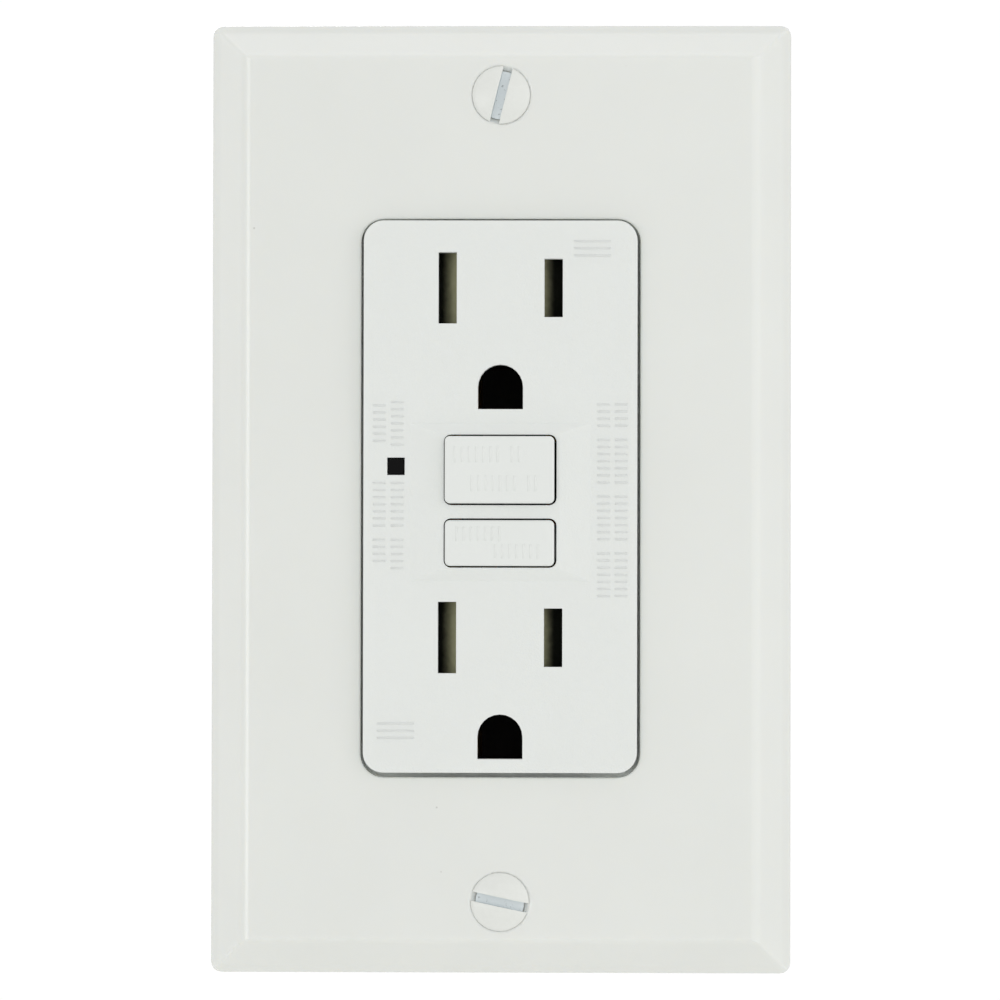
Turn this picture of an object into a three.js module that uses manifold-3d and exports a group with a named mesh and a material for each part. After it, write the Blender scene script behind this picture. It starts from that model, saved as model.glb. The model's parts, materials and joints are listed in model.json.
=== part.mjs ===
/*
 * Ground-fault receptacle with tamper-resistant shutters, fitted with its one-gang wall plate.
 *
 * Frame: X to the right, Z up, Y into the wall, all in millimetres. Y = 0 is the wall surface, which the
 * strap ears and the rim of the wall plate rest on, and the origin is the centre of the receptacle there.
 * The neutral side is on the left (-X), the hot side on the right (+X). The line terminals are at the
 * bottom, the load terminals at the top. The device is shown tripped: reset button out, contacts open.
 */
import * as THREE from "three";
import { mergeVertices } from "three/addons/utils/BufferGeometryUtils.js";
import Module from "manifold-3d";

const wasm = await Module();
wasm.setup();

// ---- driving dimensions -------------------------------------------------------

// seat: faces that touch. slide: parts that move on each other. loose: round a screw, pin or strip.
const clearance = { seat: 0.05, slide: 0.2, loose: 0.3 };

const plate = {
  width: 69.85,
  height: 114.3,
  depth: 5.6,
  wall: 2.1,
  cornerRadius: 1.3,
  edgeHeight: 1.3, // upright outer edge
  rimWidth: 1.0, // rounded-over rim, seen from the front
  rimRise: 1.2,
  bevelWidth: 4.1, // from the outer edge to the flat front
  drop: 0.16, // the plate hangs this much below the centre of the receptacle
  screwSpacing: 96.84,
  ribWidth: 1.2,
  ribOffset: 4.0, // beside the receptacle
  ribInset: 6.0, // from the ends of the plate
  ribRise: 0.6, // clear of the wall
  bossRadius: 2.9,
};

const face = {
  width: 32.8,
  height: 66.15,
  cornerRadius: 2.4,
  proud: 1.5, // in front of the wall plate
  thickness: 2.0,
  wall: 1.6,
  sideGap: 0.35, // to the opening in the wall plate
  endGap: 0.42,
};

const body = {
  width: 43.0,
  endMargin: 0.73, // beyond the face at the top and the bottom
  depth: 26.5,
  wall: 1.6,
  cornerRadius: 1.5,
  flangeGap: 0.9, // behind the wall plate
  parting: 1.0, // where the front cover meets the rear housing
};

const strap = {
  thickness: 1.2,
  earWidth: 31.0,
  earEnd: 53.2, // from the centre
  width: 22.8,
  mountSpacing: 83.34,
  mountSlotLength: 7.0,
  holeDiameter: 4.0,
  cornerRadius: 2.0,
  earStart: 2.2, // beyond the end of the housing
  bladeCutInner: 1.75, // openings for the blades, from the middle of each slot
  bladeCutOuter: 3.25,
  bladeCutHalfHeight: 5.5,
  windowSide: 0.6, // opening for the buttons, beyond the openings in the face
  windowEnd: 0.9,
};

const slot = {
  halfPitch: 6.35,
  width: 2.2,
  hotHeight: 7.0,
  neutralHeight: 8.55,
  groundDrop: 11.89, // ground hole below the blades
  groundRadius: 2.7,
  groundFlat: 2.65, // from the centre of the arch down to the flat
};
const sockets = [
  { name: "upper", z: 25.0 },
  { name: "lower", z: -16.9 },
];
const plug = { bladeThickness: 1.5, bladeWidth: 8.0, bladeLength: 17.9, pinDiameter: 4.8, pinLength: 21.0 };

const button = {
  width: 13.5, // of both openings
  resetHeight: 8.44,
  testHeight: 5.89,
  resetCentre: 3.17,
  bar: 1.59, // between the two openings
  cornerRadius: 0.85,
  gap: 0.2, // round each cap
  sit: 0.07, // the caps sit this much to the left in their openings
  capRadius: 0.6,
  capWall: 1.3,
  resetProud: 1.2, // in front of the island, tripped
  testProud: 0.3,
  testTravel: 1.3,
  lip: 0.85, // keeps the cap behind the face
  lipThickness: 0.8,
  lipInset: 0.6, // from the ends of the cap
  stemHalfWidth: 1.1,
  stemHalfHeight: 0.9,
};
const island = {
  height: 0.7,
  sideMargin: 0.35,
  endMargin: 0.22,
  sideSlope: 3.7,
  topSlope: 1.15,
  bottomSlope: 1.38,
};
const lens = {
  x: -12.5,
  z: 3.6,
  width: 1.9,
  recess: 0.2,
  gap: 0.1,
  notchOut: 1.25, // notch beside the middle housing
  notchIn: 1.15,
  notchHalfHeight: 1.3,
};

const shutter = {
  overlap: 0.45, // beyond the slot, when closed
  openSpare: 0.15, // clear of the slot, when open
  middleGap: 0.4, // from the centre, when open
  rampLead: 0.25,
  toe: 0.6, // thickness of the thin outer end
  pocket: 2.0, // depth of the hole that holds the spring
  endOverlap: 0.93,
  frame: 0.8,
  springRadius: 0.8,
  wire: 0.3,
  springTurns: 6,
};
const pin = {
  radius: 1.2,
  bossRadius: 2.3,
  depthInCap: 2.2,
  grooveLead: 0.6,
  grooveDepth: 0.4,
  tail: 0.4, // beyond the latch
};
const springs = { resetRadius: 2.7, resetWire: 0.55, carriageRadius: 2.5, carriageWire: 0.45, turns: 5 };
const testBlade = {
  thickness: 0.4,
  halfHeight: 1.1,
  reach: 3.0, // past the centre
  footX: -9.0,
  footHalfWidth: 0.2,
  footHalfHeight: 0.8,
  footDrop: 0.1,
};

const core = {
  width: 26.4, // middle housing
  floor: 0.5, // under the blade wells
  wellDepthSpare: 0.1,
  wellInner: 4.4,
  wellOuter: 9.6,
  wellHalfHeight: 6.0,
  windowHalfWidth: 9.5,
  windowHalfHeight: 10.5,
  barFront: 4.0, // cross bar that both springs bear on
  barThickness: 1.5,
  barHalfHeight: 3.5,
  cupWall: 0.5, // round the tip of a ground pin, behind the housing
  cupFloor: 0.3,
};

const strip = {
  thickness: 0.8,
  width: 4.0,
  leaf: 0.6,
  railInner: 10.3,
  railFront: 4.0,
  railBack: 9.0,
  clipGap: 0.4, // below the blade
};
// Ground contact: base plate round the pin hole and two leaves that close in on the pin.
const groundClip = {
  baseHalfWidth: 4.4,
  below: 2.6, // from the centre of the pin
  above: 5.6,
  openTop: 2.9,
  leafTop: 2.4,
  leafEnd: 8.0,
  mouth: 0.35, // how much wider the leaves stand at their front
};
const terminal = {
  z: 20.0,
  screwY: 9.5,
  bracketInner: 18.2,
  bracketHalfHeight: 4.6,
  bracketFront: 4.5,
  bracketBack: 16.3,
  headRadius: 4.0,
  headHeight: 2.2,
  shankRadius: 1.95,
  slotWidth: 1.2,
  slotDepth: 1.1,
  clampThickness: 1.4,
  clampHalfHeight: 4.2,
  clampHalfDepth: 4.3,
  wireGap: 2.6,
  grooveDepth: 0.3,
  grooveHalfWidth: 0.5,
  wireHoleRadius: 1.7,
  wireHoleOffset: 3.4,
};

const contact = {
  centreX: 6.4,
  halfWidth: 1.2,
  centreZ: 6.4,
  radius: 1.2,
  button: 0.6,
  gap: 1.0,
  tabRise: 0.6,
};
const carriage = {
  halfWidth: 4.0,
  armHalfWidth: 8.6,
  armHalfHeight: 3.6,
  armStep: 0.4,
  depth: 2.35, // behind the bridge contacts
  lead: 0.5, // behind the fixed contacts
  bottom: -3.4,
  top: 6.2,
};
const latch = { thickness: 0.8, halfWidth: 2.6, bottom: -1.0, top: 9.0 };

const board = {
  thickness: 1.6,
  standoff: 2.8,
  halfWidth: 19.0,
  neckHalfWidth: 14.4,
  wingHalfHeight: 14.0,
  endGap: 2.2,
};
const solenoid = {
  axisToBoard: 4.1,
  bottom: 16.8,
  length: 10.0,
  cheek: 0.8,
  cheekHalfWidth: 4.6,
  cheekHalfDepth: 4.0,
  coilRadius: 3.6,
  coreRadius: 2.4,
  plungerRadius: 1.6,
  collarRadius: 2.7,
  springLength: 4.0,
  springRadius: 2.45,
  springWire: 0.35,
  plungerTravel: 1.5,
};
const transformer = { z: -17.3, radius: 7.8, bore: 3.8, wall: 0.6, coilGap: 0.35 };
const lineStrip = { inner: 0.9, width: 2.0, turnX: 8.8, riserZ: -9.0, thickness: 0.7, crossHeight: 2.5 };

const plateScrew = {
  headRadius: 3.5,
  dome: 0.7,
  cone: 2.0,
  shankRadius: 1.65,
  length: 12.7,
  gap: 0.12,
  lean: [14, 102], // degrees clockwise from upright, top screw and bottom screw
};
const mountScrew = { headRadius: 3.2, headHeight: 1.7, shankRadius: 1.65, end: 29.0 };
const caseScrew = { x: 18.2, inset: 3.5, headRadius: 2.3, headHeight: 1.6, shankRadius: 1.1, boss: 2.8 };
const driverSlot = { width: 1.1, depth: 1.3 };
const groundScrew = { z: -39.5, y: 5.2, hexRadius: 4.2, headHeight: 2.4, shankRadius: 1.95, length: 5.6 };
const groundTab = { x: -14.5, halfHeight: 4.0, depth: 9.0 };
const retainer = { width: 9.0, thickness: 0.6 };
const post = { x: 9.0, inset: 5.0, radius: 2.0 };
const led = { radius: 1.5, height: 6.4, flange: 0.3, flangeHeight: 1.0, lensGap: 0.4 };
const varistor = { x: 15.3, radius: 4.5, thickness: 3.4, leadOffset: 2.5 };
const capacitor = { x: -15.8, z: -5.0, width: 4.4, height: 7.8, length: 8.0, leadOffset: 2.5 };
const thyristor = { x: 12.0, z: -9.0, radius: 2.3, height: 4.8, standoff: 2.2, flat: 1.4, leadPitch: 1.4 };
const chip = { x: 5.0, z: -22.0, width: 5.0, length: 4.0, height: 1.5, leadSpan: 6.6, leadPitch: 0.9 };
const lead = { radius: 0.3, holeRadius: 0.6, stub: 0.6 };

// ---- levels along Y, from the front of the face to the back of the housing -----

const plateBack = plate.wall - plate.depth;
const faceFront = -(plate.depth + face.proud);
const faceBack = faceFront + face.thickness;
const islandFront = faceFront - island.height;
const strapFront = -strap.thickness;
const strapCut = [strapFront - 1, 1];
const flangeFront = plateBack + body.flangeGap;
const flangeBack = flangeFront + body.wall;
const rearFront = body.parting + clearance.seat;
const floorFront = body.depth - body.wall;
const boardFront = floorFront - board.standoff - board.thickness;
const boardBack = boardFront + board.thickness;
const wellBottom = faceFront + plug.bladeLength + core.wellDepthSpare;
const coreBack = wellBottom + core.floor;
const pinWellBottom = faceFront + plug.pinLength + core.wellDepthSpare;
const bodyHalfHeight = face.height / 2 + body.endMargin;
const coreHalfHeight = bodyHalfHeight - body.wall - clearance.slide;

// Contact stack behind the middle housing: fixed button, gap, moving button, bridge, carriage, latch.
const tabFront = coreBack - strip.thickness / 2;
const tabBack = tabFront + strip.thickness;
const fixedButtonBack = tabBack + contact.button;
const movingButtonFront = fixedButtonBack + contact.gap;
const bridgeFront = movingButtonFront + contact.button;
const bridgeBack = bridgeFront + strip.leaf;
const armFront = bridgeBack + clearance.seat;
const carriageFront = tabBack + carriage.lead;
const carriageBack = armFront + carriage.depth;
const latchFront = carriageBack + clearance.loose;
const latchBack = latchFront + latch.thickness;
const solenoidY = boardFront - solenoid.axisToBoard;

const resetBack = faceBack + 0.1 + button.lipThickness;
const resetFront = islandFront - button.resetProud;
const testFront = islandFront - button.testProud;
const testCentre = button.resetCentre - button.resetHeight / 2 - button.bar - button.testHeight / 2;
const testStemBack = 0.8;
const leafFront = testStemBack + button.testTravel + 0.1;

const shutterOuter = slot.halfPitch + slot.width / 2 + shutter.overlap;
const shutterTravel = shutterOuter - (slot.halfPitch - slot.width / 2) + shutter.openSpare;
const shutterInner = shutterTravel + shutter.middleGap;
const shutterHalfHeight = slot.neutralHeight / 2 + shutter.endOverlap;
const shutterFront = faceBack + clearance.slide;
const shutterBack = strapFront - 0.5;
const shutterMiddle = (shutterFront + shutterBack) / 2;

// ---- finishes -----------------------------------------------------------------

const finish = {
  plateWhite: { color: 0xe8eae7, roughness: 0.22, metalness: 0 },
  faceWhite: { color: 0xe3e8e4, roughness: 0.5, metalness: 0 },
  buttonWhite: { color: 0xe6eae7, roughness: 0.45, metalness: 0 },
  paintedScrew: { color: 0xe6e8e4, roughness: 0.35, metalness: 0.1 },
  greyPlastic: { color: 0x8f8b7c, roughness: 0.5, metalness: 0 },
  blackPlastic: { color: 0x1c1d1f, roughness: 0.5, metalness: 0 },
  rearPlastic: { color: 0xd9dad6, roughness: 0.55, metalness: 0 },
  zincSteel: { color: 0xb9bcbf, roughness: 0.35, metalness: 1 },
  springSteel: { color: 0xa8aaad, roughness: 0.3, metalness: 1 },
  brass: { color: 0xc9a24b, roughness: 0.32, metalness: 1 },
  silver: { color: 0xcfd0d2, roughness: 0.3, metalness: 1 },
  greenSteel: { color: 0x2f7d43, roughness: 0.4, metalness: 0.7 },
  laminate: { color: 0x2f6b3c, roughness: 0.45, metalness: 0 },
  copper: { color: 0xb66a3c, roughness: 0.35, metalness: 0.8 },
  bluePolymer: { color: 0x2b5fae, roughness: 0.45, metalness: 0 },
  fibre: { color: 0xb5523a, roughness: 0.8, metalness: 0 },
  clearLens: { color: 0x23262a, roughness: 0.12, metalness: 0 },
};

// ---- modelling kit ------------------------------------------------------------

// Outline axes (u, v) and direction of extrusion for a prism along each axis.
const BASIS = {
  x: new THREE.Matrix4().makeBasis(unit(0, 1, 0), unit(0, 0, 1), unit(1, 0, 0)),
  y: new THREE.Matrix4().makeBasis(unit(1, 0, 0), unit(0, 0, 1), unit(0, -1, 0)),
  z: new THREE.Matrix4(),
};

function unit(x, y, z) {
  return new THREE.Vector3(x, y, z);
}

function solid(geometry) {
  const bare = geometry.clone();
  bare.deleteAttribute("normal");
  bare.deleteAttribute("uv");
  const merged = mergeVertices(bare, 1e-4);
  const mesh = new wasm.Mesh({
    numProp: 3,
    vertProperties: merged.attributes.position.array,
    triVerts: new Uint32Array(merged.index.array),
  });
  return new wasm.Manifold(mesh);
}

function join(...parts) {
  return parts.reduce((whole, part) => whole.add(part));
}

function cut(whole, ...tools) {
  return tools.reduce((rest, tool) => rest.subtract(tool), whole);
}

// Outline extruded between two places on an axis. The outline is in XZ for y, YZ for x and XY for z.
function prism(outline, axis, ends, divisions = 12) {
  const low = Math.min(...ends);
  const high = Math.max(...ends);
  const settings = { depth: high - low, bevelEnabled: false, curveSegments: divisions, steps: 1 };
  const geometry = new THREE.ExtrudeGeometry(outline, settings);
  geometry.applyMatrix4(BASIS[axis]);
  const shift = unit(0, 0, 0);
  shift[axis] = axis === "y" ? high : low;
  geometry.translate(shift.x, shift.y, shift.z);
  return solid(geometry);
}

function box([x0, x1], [y0, y1], [z0, z1]) {
  const geometry = new THREE.BoxGeometry(Math.abs(x1 - x0), Math.abs(y1 - y0), Math.abs(z1 - z0));
  geometry.translate((x0 + x1) / 2, (y0 + y1) / 2, (z0 + z1) / 2);
  return solid(geometry);
}

function around(centre, half) {
  return [centre - half, centre + half];
}

function polygon(points) {
  return new THREE.Shape(points.map(([u, v]) => new THREE.Vector2(u, v)));
}

function disc(radius, [u, v]) {
  const outline = new THREE.Shape();
  outline.absarc(u, v, radius, 0, 2 * Math.PI, false);
  return outline;
}

function rod(axis, radius, ends, centre, divisions = 10) {
  return prism(disc(radius, centre), axis, ends, divisions);
}

function roundedRectangle(width, height, radius, [u, v] = [0, 0]) {
  const outline = new THREE.Shape();
  const du = width / 2 - radius;
  const dv = height / 2 - radius;
  outline.absarc(u + du, v + dv, radius, 0, Math.PI / 2, false);
  outline.absarc(u - du, v + dv, radius, Math.PI / 2, Math.PI, false);
  outline.absarc(u - du, v - dv, radius, Math.PI, 1.5 * Math.PI, false);
  outline.absarc(u + du, v - dv, radius, 1.5 * Math.PI, 2 * Math.PI, false);
  return outline;
}

function roundedBlock(width, height, radius, ends, centre = [0, 0], divisions = 2) {
  return prism(roundedRectangle(width, height, radius, centre), "y", ends, divisions);
}

// Closed profile of [radius, place] pairs, from the low end to the high end, turned about an axis.
function turned(profile, axis, [x, y, z], segments = 24) {
  const geometry = new THREE.LatheGeometry(profile.map(([r, h]) => new THREE.Vector2(r, h)), segments);
  if (axis === "x") {
    geometry.rotateZ(-Math.PI / 2);
  }
  if (axis === "z") {
    geometry.rotateX(Math.PI / 2);
  }
  geometry.translate(x, y, z);
  return solid(geometry);
}

class Helix extends THREE.Curve {
  constructor(axis, radius, start, end, turns, centre) {
    super();
    Object.assign(this, { axis, radius, start, end, turns, centre });
  }

  getPoint(t) {
    const angle = 2 * Math.PI * this.turns * t;
    const u = this.radius * Math.cos(angle);
    const v = this.radius * Math.sin(angle);
    const w = this.start + (this.end - this.start) * t;
    const [a, b] = this.centre;
    return { x: unit(w, a + u, b + v), y: unit(a + u, w, b + v), z: unit(a + u, b + v, w) }[this.axis];
  }
}

// Compression spring that fills the space between its ends, wire included.
function coilSpring(axis, outerRadius, wire, ends, turns, centre, stepsPerTurn = 8) {
  const [start, end] = ends;
  const path = new Helix(axis, outerRadius - wire / 2, start + wire / 2, end - wire / 2, turns, centre);
  const section = polygon([0, 1, 2, 3].map((i) => {
    const angle = (Math.PI * i) / 2;
    return [(wire / 2) * Math.cos(angle), (wire / 2) * Math.sin(angle)];
  }));
  const steps = Math.round(turns * stepsPerTurn);
  return solid(new THREE.ExtrudeGeometry(section, { steps, extrudePath: path }));
}

function piece(name, form, look) {
  const mesh = form.getMesh();
  const geometry = new THREE.BufferGeometry();
  geometry.setAttribute("position", new THREE.BufferAttribute(mesh.vertProperties, 3));
  geometry.setIndex(new THREE.BufferAttribute(mesh.triVerts, 1));
  geometry.computeVertexNormals();
  const node = new THREE.Mesh(geometry, new THREE.MeshStandardMaterial({ ...look, flatShading: true }));
  node.name = name;
  return node;
}

// ---- wall plate and its screws --------------------------------------------------

// Solid with the same steps of [inset, y] on all four sides, so that its corners are mitred.
function mitred(width, height, steps, centreZ) {
  const mirrored = [...steps].reverse();
  const section = (half) => [
    ...steps.map(([inset, y]) => [inset - half, y]),
    ...mirrored.map(([inset, y]) => [half - inset, y]),
  ];
  const across = polygon(section(width / 2));
  const along = polygon(section(height / 2).map(([s, y]) => [y, s + centreZ]));
  const tall = prism(across, "z", around(centreZ, height / 2));
  const wide = prism(along, "x", around(0, width / 2));
  return tall.intersect(wide);
}

function wallPlate() {
  const centreZ = -plate.drop;
  const bevelFoot = plate.edgeHeight + plate.rimRise;
  const outside = [
    [0, 0],
    [0, -plate.edgeHeight],
    [plate.rimWidth, -bevelFoot],
    [plate.bevelWidth, -plate.depth],
  ];
  const slope = Math.atan2(plate.depth - bevelFoot, plate.bevelWidth - plate.rimWidth);
  const wallAcross = plate.wall / Math.sin(slope);
  const hollowInset = (y) => plate.rimWidth + (y - bevelFoot) / Math.tan(slope) + wallAcross;
  const hollowTop = plate.depth - plate.wall;
  const kneeY = Math.max(0.2, bevelFoot + (plate.wall - hollowInset(bevelFoot)) * Math.tan(slope));
  const inside = [
    [plate.wall, 1],
    [plate.wall, -kneeY],
    [hollowInset(hollowTop), -hollowTop],
  ];
  const outline = roundedRectangle(plate.width, plate.height, plate.cornerRadius, [0, centreZ]);
  const shell = cut(
    mitred(plate.width, plate.height, outside, centreZ).intersect(prism(outline, "y", [-plate.depth, 0], 2)),
    mitred(plate.width, plate.height, inside, centreZ),
  );

  const ribX = body.width / 2 + plate.ribOffset;
  const ribHalfHeight = plate.height / 2 - plate.ribInset;
  const ribs = [-ribX, ribX].map((x) =>
    box(around(x, plate.ribWidth / 2), [plateBack - 0.1, -plate.ribRise], around(centreZ, ribHalfHeight)));
  const bosses = plateScrewPlaces().map(([x, z]) =>
    rod("y", plate.bossRadius, [plateBack - 0.1, strapFront - clearance.seat], [x, z], 8));
  const openingWidth = face.width + 2 * face.sideGap;
  const openingHeight = face.height + 2 * face.endGap;
  const openingRadius = face.cornerRadius + face.sideGap;
  const through = [-plate.depth - 1, 1];
  const opening = roundedBlock(openingWidth, openingHeight, openingRadius, through, [0, centreZ], 4);
  const holes = plateScrewPlaces().map(([x, z]) => screwSeat(x, z));
  return cut(join(shell, ...ribs, ...bosses), opening, ...holes);
}

function plateScrewPlaces() {
  return [1, -1].map((end) => [0, (end * plate.screwSpacing) / 2 - plate.drop]);
}

// Countersunk hole for one plate screw.
function screwSeat(x, z) {
  const rim = plateScrew.headRadius + plateScrew.gap;
  const neck = plateScrew.shankRadius + clearance.loose;
  const front = -plate.depth;
  const profile = [
    [0, front - 1], [rim, front - 1], [rim, front], [neck, front + plateScrew.cone], [neck, 1], [0, 1],
  ];
  return turned(profile, "y", [x, 0, z]);
}

// Oval countersunk head on a threaded shank, with a driver slot leaning clockwise from upright.
function plateScrewSolid([x, z], lean) {
  const rimY = -plate.depth;
  const dome = [0, 0.35, 0.65, 0.88].map((share) => [
    share * plateScrew.headRadius,
    rimY - plateScrew.dome * (1 - share * share),
  ]);
  const tip = rimY + plateScrew.length;
  const profile = [
    ...dome,
    [plateScrew.headRadius, rimY],
    [plateScrew.shankRadius, rimY + plateScrew.cone],
    [plateScrew.shankRadius, tip - 0.8],
    [0.9, tip],
    [0, tip],
  ];
  const slotCut = driverSlotCut(x, rimY - plateScrew.dome, z, plateScrew.headRadius, lean);
  return cut(turned(profile, "y", [x, 0, z], 32), slotCut);
}

function driverSlotCut(x, frontY, z, headRadius, lean) {
  const geometry = new THREE.BoxGeometry(driverSlot.width, 2 * driverSlot.depth, 2 * headRadius + 1);
  geometry.rotateY(lean);
  geometry.translate(x, frontY, z);
  return solid(geometry);
}

// ---- front cover, buttons, lens and shutters ------------------------------------

function groundHole(z, gap, ends) {
  const radius = slot.groundRadius + gap;
  const outline = new THREE.Shape();
  outline.absarc(0, z, radius, 0, Math.PI, false);
  outline.lineTo(-radius, z - slot.groundFlat - gap);
  outline.lineTo(radius, z - slot.groundFlat - gap);
  return prism(outline, "y", ends, 6);
}

function faceIsland() {
  const halfTop = button.width / 2 + island.sideMargin;
  const halfBase = halfTop + island.sideSlope;
  const top = button.resetCentre + button.resetHeight / 2 + island.endMargin;
  const bottom = testCentre - button.testHeight / 2 - island.endMargin;
  const root = faceFront + 0.5;
  const across = polygon([
    [-halfBase, root], [-halfBase, faceFront], [-halfTop, islandFront],
    [halfTop, islandFront], [halfBase, faceFront], [halfBase, root],
  ]);
  const along = polygon([
    [root, bottom - island.bottomSlope], [faceFront, bottom - island.bottomSlope], [islandFront, bottom],
    [islandFront, top], [faceFront, top + island.topSlope], [root, top + island.topSlope],
  ]);
  const tall = prism(across, "z", [bottom - island.bottomSlope, top + island.topSlope]);
  return tall.intersect(prism(along, "x", [-halfBase, halfBase]));
}

function frontCover() {
  const flange = roundedBlock(body.width, 2 * bodyHalfHeight, body.cornerRadius, [flangeFront, body.parting]);
  const block = roundedBlock(face.width, face.height, face.cornerRadius, [faceFront, flangeBack], [0, 0], 4);
  const blockHollow = roundedBlock(face.width - 2 * face.wall, face.height - 2 * face.wall, 1, [faceBack, 2]);
  const flangeHollow = roundedBlock(
    body.width - 2 * body.wall, 2 * (bodyHalfHeight - body.wall), 1, [flangeBack, 2]);
  let cover = cut(join(flange, block, faceIsland()), blockHollow, flangeHollow);

  const frames = sockets.map(({ z }) => shutterFrame(z));
  const bosses = caseScrewPlaces().map((place) =>
    rod("y", caseScrew.boss, [flangeFront, body.parting], place, 8));
  cover = join(cover, ...frames, ...bosses);

  const through = [islandFront - 1, faceBack + 1];
  const socketCuts = sockets.flatMap(({ z }) => [
    box(around(-slot.halfPitch, slot.width / 2), through, around(z, slot.neutralHeight / 2)),
    box(around(slot.halfPitch, slot.width / 2), through, around(z, slot.hotHeight / 2)),
    groundHole(z - slot.groundDrop, 0, through),
  ]);
  const resetPlace = [0, button.resetCentre];
  const resetCut = roundedBlock(button.width, button.resetHeight, button.cornerRadius, through, resetPlace);
  const testPlace = [0, testCentre];
  const testCut = roundedBlock(button.width, button.testHeight, button.cornerRadius, through, testPlace);
  const lensHalf = lens.width / 2 + lens.gap;
  const lensCut = box(around(lens.x, lensHalf), through, around(lens.z, lensHalf));
  const strapHalf = strap.width / 2 + clearance.loose;
  const notchInner = Math.min(coreHalfHeight, face.height / 2 - face.wall) - 0.5;
  const notchY = [strapFront - clearance.loose, 2];
  const strapNotches = [-1, 1].map((end) =>
    box(around(0, strapHalf), notchY, [end * notchInner, end * (notchInner + 30)]));
  const pilotRadius = caseScrew.shankRadius + clearance.slide;
  const pilots = caseScrewPlaces().map((place) => rod("y", pilotRadius, [flangeFront + 0.9, 2], place, 6));
  return cut(cover, ...socketCuts, resetCut, testCut, lensCut, ...strapNotches, ...pilots);
}

// Raised frame behind the face that guides one pair of shutters.
function shutterFrame(z) {
  const halfWidth = shutterOuter + clearance.slide;
  const halfHeight = shutterHalfHeight + clearance.slide;
  const ends = [faceBack - 0.1, strapFront - clearance.loose];
  return cut(
    box(around(0, halfWidth + shutter.frame), ends, around(z, halfHeight + shutter.frame)),
    box(around(0, halfWidth), [faceBack - 1, 2], around(z, halfHeight)),
  );
}

function caseScrewPlaces() {
  const z = bodyHalfHeight - caseScrew.inset;
  return [[-caseScrew.x, z], [caseScrew.x, z], [-caseScrew.x, -z], [caseScrew.x, -z]];
}

// Hollow push button with side lips that stop behind the face.
function buttonShell(openingHeight, centreZ, front) {
  const width = button.width - 2 * button.gap;
  const height = openingHeight - 2 * button.gap;
  const cap = roundedBlock(width, height, button.capRadius, [front, resetBack], [-button.sit, centreZ]);
  const lip = box(
    around(-button.sit, button.width / 2 + button.lip), [resetBack - button.lipThickness, resetBack],
    around(centreZ, height / 2 - button.lipInset));
  const hollow = box(
    around(-button.sit, width / 2 - button.capWall), [front + button.capWall, resetBack + 1],
    around(centreZ, height / 2 - button.capWall));
  return cut(join(cap, lip), hollow);
}

function resetButton() {
  const place = [0, button.resetCentre];
  const shell = buttonShell(button.resetHeight, button.resetCentre, resetFront);
  const boss = rod("y", pin.bossRadius, [resetFront + button.capWall - 0.1, resetBack], place, 8);
  const socketEnds = [resetBack - pin.depthInCap, resetBack + 1];
  const socket = rod("y", pin.radius + clearance.slide, socketEnds, place, 8);
  return cut(join(shell, boss), socket);
}

function testButton() {
  const shell = buttonShell(button.testHeight, testCentre, testFront);
  const stem = box(
    around(0, button.stemHalfWidth), [testFront + button.capWall - 0.1, testStemBack],
    around(testCentre, button.stemHalfHeight));
  return join(shell, stem);
}

function resetPin() {
  const { radius, grooveDepth, tail } = pin;
  const front = resetBack - pin.depthInCap + clearance.seat;
  const end = latchBack + tail;
  const groove = latchFront - pin.grooveLead;
  const waist = radius - grooveDepth;
  const profile = [
    [0, front], [radius, front], [radius, groove], [waist, groove + grooveDepth / 2],
    [waist, latchBack - grooveDepth], [radius, latchBack - grooveDepth / 2],
    [radius, end - 0.3], [radius - 0.5, end], [0, end],
  ];
  return turned(profile, "y", [0, 0, button.resetCentre], 16);
}

function statusLens() {
  const half = lens.width / 2;
  const back = boardFront - led.height - led.lensGap;
  return box(around(lens.x, half), [faceFront + lens.recess, back], around(lens.z, half));
}

// One half of a shutter: its sloped front turns a push from the blades into a slide towards the middle.
function shutterHalf(side, z) {
  const inner = side * shutterInner;
  const outer = side * shutterOuter;
  const rampTop = side * (slot.halfPitch - slot.width / 2 - shutter.rampLead);
  const toe = shutterBack - shutter.toe;
  const outline = polygon([
    [inner, shutterBack], [inner, shutterFront], [rampTop, shutterFront], [outer, toe], [outer, shutterBack],
  ]);
  const block = prism(outline, "z", around(z, shutterHalfHeight));
  const pocketRadius = shutter.springRadius + clearance.slide;
  const pocket = rod("x", pocketRadius, [0, side * (shutterInner + shutter.pocket)], [shutterMiddle, z], 5);
  return cut(block, pocket);
}

function shutterSpring(z) {
  const reach = shutterInner + shutter.pocket - 0.1;
  const place = [shutterMiddle, z];
  return coilSpring("x", shutter.springRadius, shutter.wire, [-reach, reach], shutter.springTurns, place, 6);
}

// ---- strap, middle housing and rear housing ---------------------------------------

function mountPlaces() {
  return [[0, strap.mountSpacing / 2], [0, -strap.mountSpacing / 2]];
}

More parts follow.
